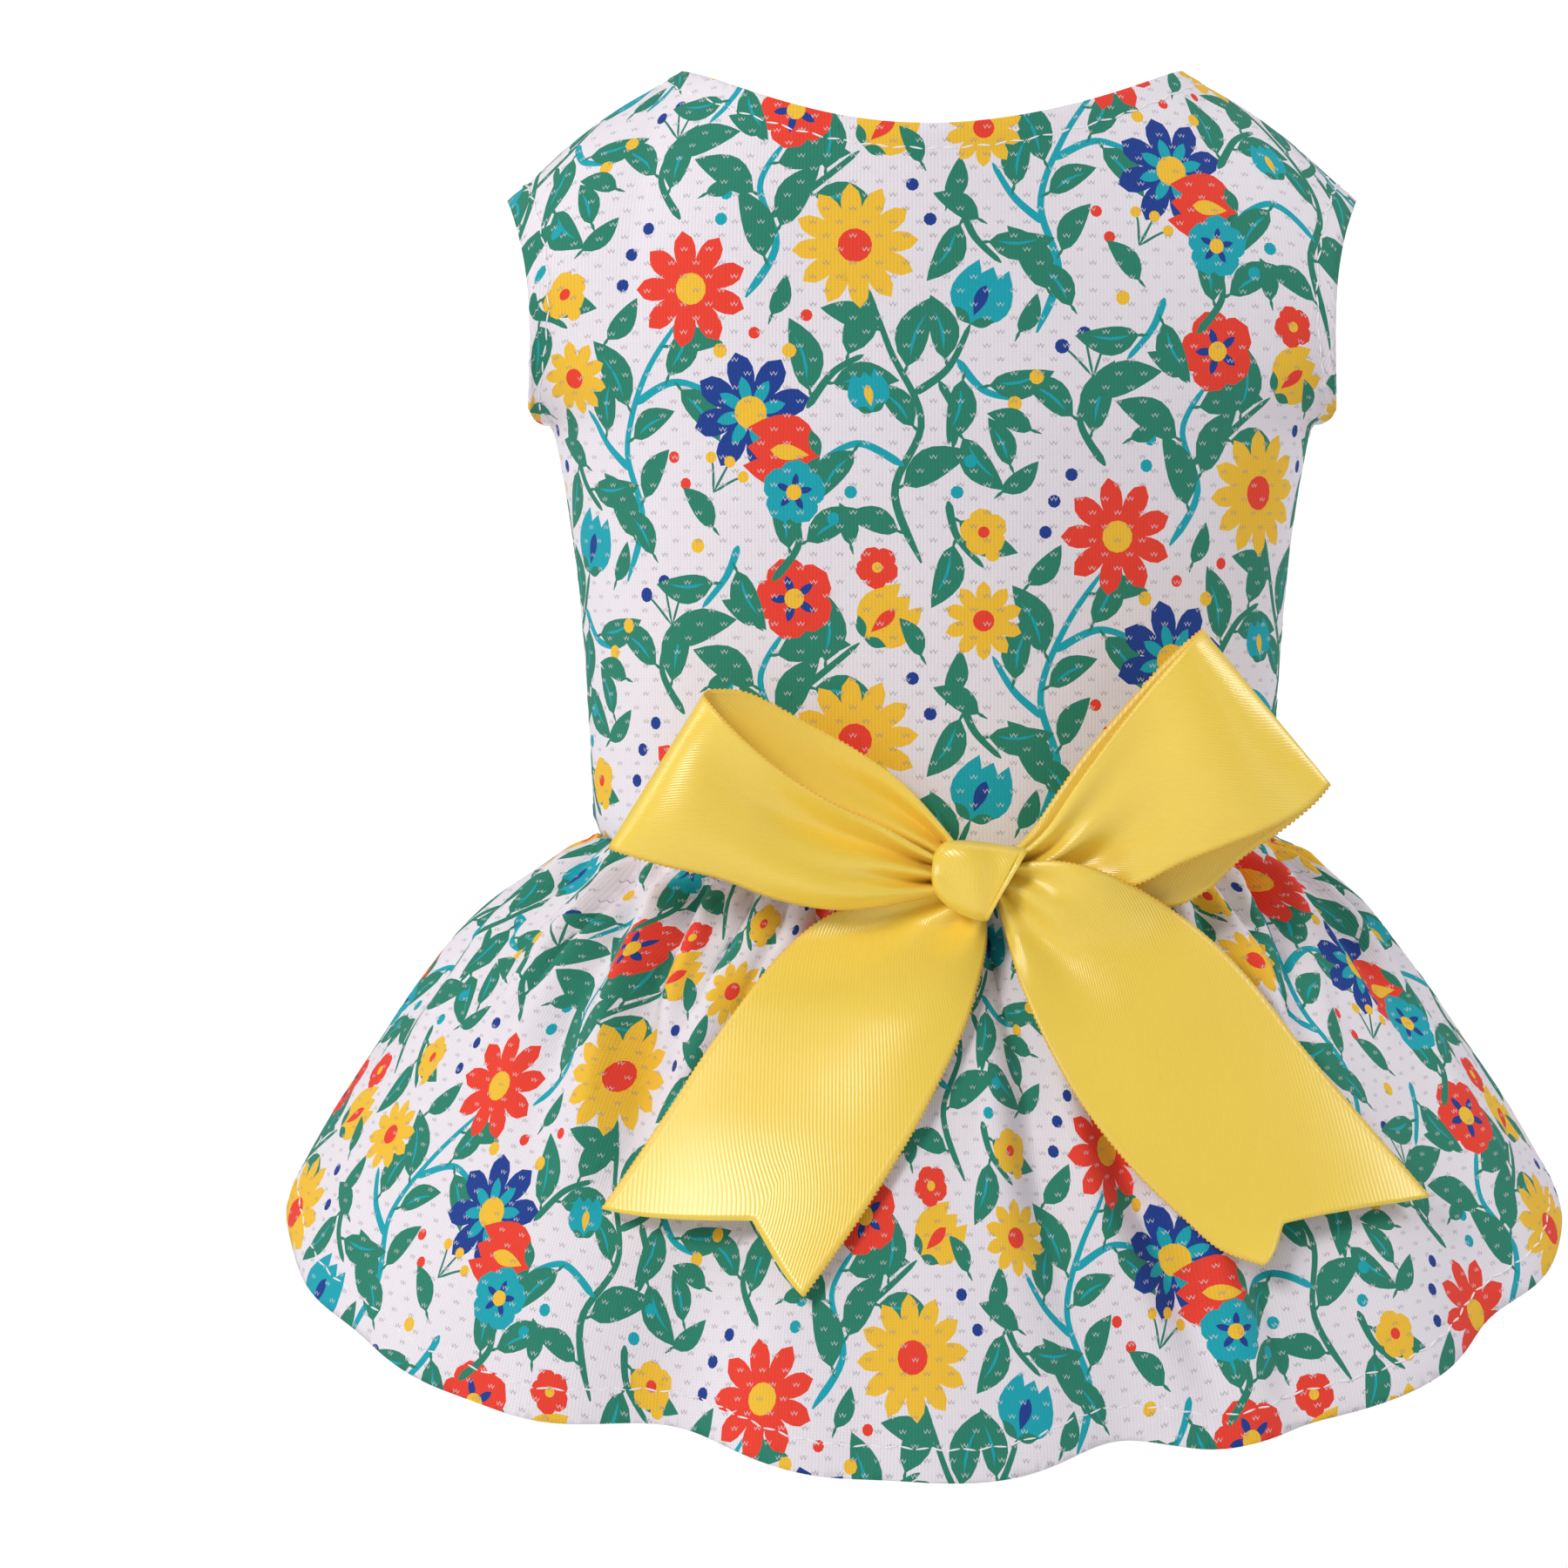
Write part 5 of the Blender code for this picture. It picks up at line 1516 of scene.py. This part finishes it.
# %% Wrap the knot
KNOT_WIDTH = 17.0 * MM
KNOT_LENGTH = 52.0 * MM
KNOT_FRONT = 13.4
KNOT_BACK = 0.9
KNOT_LEFT_DRAWN = 0.34
KNOT_SQUARENESS = 0.52
FOLD_START = 0.66
FOLD_PROUD = 0.7
Ring = namedtuple("Ring", "top_x top_z foot_x foot_z")
KNOT_RINGS = (
    Ring(-8.6, 4.6, -8.9, 1.0),
    Ring(-6.6, 7.0, -8.0, -2.4),
    Ring(-2.5, 7.4, -5.0, -5.2),
    Ring(1.5, 7.0, -2.2, -6.6),
    Ring(5.5, 6.4, 0.2, -7.3),
    Ring(8.4, 5.9, 1.1, -7.4),
    Ring(9.2, 5.5, 1.6, -7.3),
)


def knot_points(across, round_share):
    """Points of the knot: across from -1 to 1 from left to right, round_share from 0 to 1 round the wrap."""
    rings = smooth_read(np.array(KNOT_RINGS), (across + 1) / 2)
    angle = 2 * math.pi * round_share
    height = np.sign(np.sin(angle)) * np.abs(np.sin(angle)) ** KNOT_SQUARENESS
    depth = -np.sign(np.cos(angle)) * np.abs(np.cos(angle)) ** KNOT_SQUARENESS
    fold = ease((across - FOLD_START) / 0.04) * FOLD_PROUD
    crease = 0.45 * np.cos(5.0 * across + 2.2 * height) * ease((0.5 - across) / 0.5) * ease((depth + 0.4) / 0.8)
    half = (KNOT_FRONT - KNOT_BACK) / 2 * (1 - KNOT_LEFT_DRAWN * np.maximum(0, -across) ** 3)
    out = (KNOT_FRONT + KNOT_BACK) / 2 + (half + fold * (depth > 0) + crease) * depth
    share = (height + 1) / 2
    x = mix(rings[:, 2], rings[:, 0], share)
    z = mix(rings[:, 3], rings[:, 1], share)
    return np.column_stack([KNOT_X + x * MM, SEAT_Y - out * MM, KNOT_Z + z * MM])


bpy.ops.object.select_all(action="DESELECT")
bpy.ops.mesh.primitive_grid_add(x_subdivisions=48, y_subdivisions=110, size=2)
knot = bpy.context.object
knot.name = "satin_knot"
flat = np.array([v.co[:2] for v in knot.data.vertices])
knot.data.vertices.foreach_set("co", knot_points(flat[:, 0], (flat[:, 1] + 1) / 2).ravel())
woven = flat * np.array([KNOT_WIDTH, KNOT_LENGTH]) / 2
loops = np.array([loop.vertex_index for loop in knot.data.loops])
while knot.data.uv_layers:
    knot.data.uv_layers.remove(knot.data.uv_layers[0])
knot.data.uv_layers.new(name="flat_ribbon").data.foreach_set("uv", woven[loops].astype(np.float32).ravel())
knot.data.materials.append(SATIN)
knot.data.update()
bpy.ops.object.shade_smooth()
apply_modifier(knot, "SOLIDIFY", thickness=RIBBON_SHOWN, offset=-1.0)
print("knot:", len(knot.data.polygons), "faces")

# %% [markdown]
# ## Picot edges
#
# Both selvedges of the ribbon are edged with tiny loops of thread. One bead stands for such a
# loop, and it is repeated along each selvedge.

# %% One picot, and rows of it
PICOT_PITCH = 1.05 * MM
PICOT_LENGTH = 0.75 * MM
PICOT_WIDTH = 0.60 * MM
PICOT_THICKNESS = 0.4 * MM
bpy.ops.object.select_all(action="DESELECT")
bpy.ops.mesh.primitive_uv_sphere_add(segments=8, ring_count=5, radius=0.5)
bpy.ops.transform.resize(value=(PICOT_WIDTH, PICOT_THICKNESS, PICOT_LENGTH))
bpy.ops.object.transform_apply(location=True, rotation=True, scale=True)
PICOT = model_arrays(bpy.context.object)


def picots(name, ribbon):
    """Picots along both selvedges of a ribbon, as one mesh."""
    parts = []
    for across in (-1.0, 1.0):
        along = np.linspace(0.02, 0.98 if ribbon.layers == 2 else 1.0, 400)
        sides = np.full(400, across)
        inner = np.full(400, across * 0.97)
        if ribbon.notch:
            along = cut_notch(along, sides, ribbon.notch)
        edge = ribbon_points(ribbon, along, sides)
        towards = edge - ribbon_points(ribbon, along, inner)
        both, ahead = spaced_along(np.column_stack([edge, towards]), PICOT_PITCH)
        middles, outward, ahead = both[:, :3], both[:, 3:], ahead[:, :3]
        normals = np.cross(ahead, outward)
        normals /= np.linalg.norm(normals, axis=1, keepdims=True)
        parts.append((middles, ahead, normals))
    middles, ahead, normals = (np.concatenate(values) for values in zip(*parts))
    return copies_along(name, PICOT, middles, ahead, normals, SATIN_EDGE)


SATIN_EDGE = new_material("yellow_satin_edge", (0.93, 0.52, 0.05), 0.45)[0]
picots_loop_left = picots("picots_loop_left", LEFT_LOOP)
picots_loop_right = picots("picots_loop_right", RIGHT_LOOP)
picots_tail_left = picots("picots_tail_left", LEFT_TAIL)
picots_tail_right = picots("picots_tail_right", RIGHT_TAIL)
print("picots on one loop:", len(picots_loop_left.data.polygons) // len(PICOT[1]))

# %% [markdown]
# ## Every piece rides on the root
#
# Nothing on the dress moves by itself, so every piece rides on the root. Each cloth or ribbon
# piece replaces one solid, which is hidden, and is listed in a table of sheets with the size that it was cut to.

# %% Pieces, nodes, slots and sheets
Sheet = namedtuple("Sheet", "piece node slot flat area held extras")


def outline_area(outline):
    ahead = np.roll(outline, -1, axis=0)
    return abs(np.sum(outline[:, 0] * ahead[:, 1] - ahead[:, 0] * outline[:, 1])) / 2


def cloth_sheet(piece, node, outline, held, extras):
    width, length = np.ptp(outline, axis=0)
    return Sheet(piece, node, "printed_knit", (width, length), outline_area(outline), held, extras)


def ribbon_sheet(piece, node, ribbon, held, extras):
    return Sheet(piece, node, "yellow_satin", (RIBBON_WIDTH, ribbon_length(ribbon)), None, held, extras)


SHEETS = (
    cloth_sheet(back, "back_panel", closed_outline(EDGES[-1]), "stretched", bands["back"] + stitches["back"]),
    cloth_sheet(belly, "belly_panel", closed_outline(EDGES[1]), "stretched", bands["belly"] + stitches["belly"]),
    cloth_sheet(skirt, "skirt", skirt_outline, "gathered", bands["skirt"] + stitches["skirt"]),
    ribbon_sheet(loop_left, "bow_loop_left", LEFT_LOOP, "folded", [picots_loop_left]),
    ribbon_sheet(loop_right, "bow_loop_right", RIGHT_LOOP, "folded", [picots_loop_right]),
    ribbon_sheet(tail_left, "bow_tail_left", LEFT_TAIL, "hung", [picots_tail_left]),
    ribbon_sheet(tail_right, "bow_tail_right", RIGHT_TAIL, "hung", [picots_tail_right]),
    Sheet(knot, "bow_knot", "yellow_satin", (KNOT_WIDTH, KNOT_LENGTH), None, "folded", []),
)
for sheet in SHEETS:
    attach(sheet.piece, "root")
    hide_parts(sheet.node)
    for extra in sheet.extras:
        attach(extra, "root")
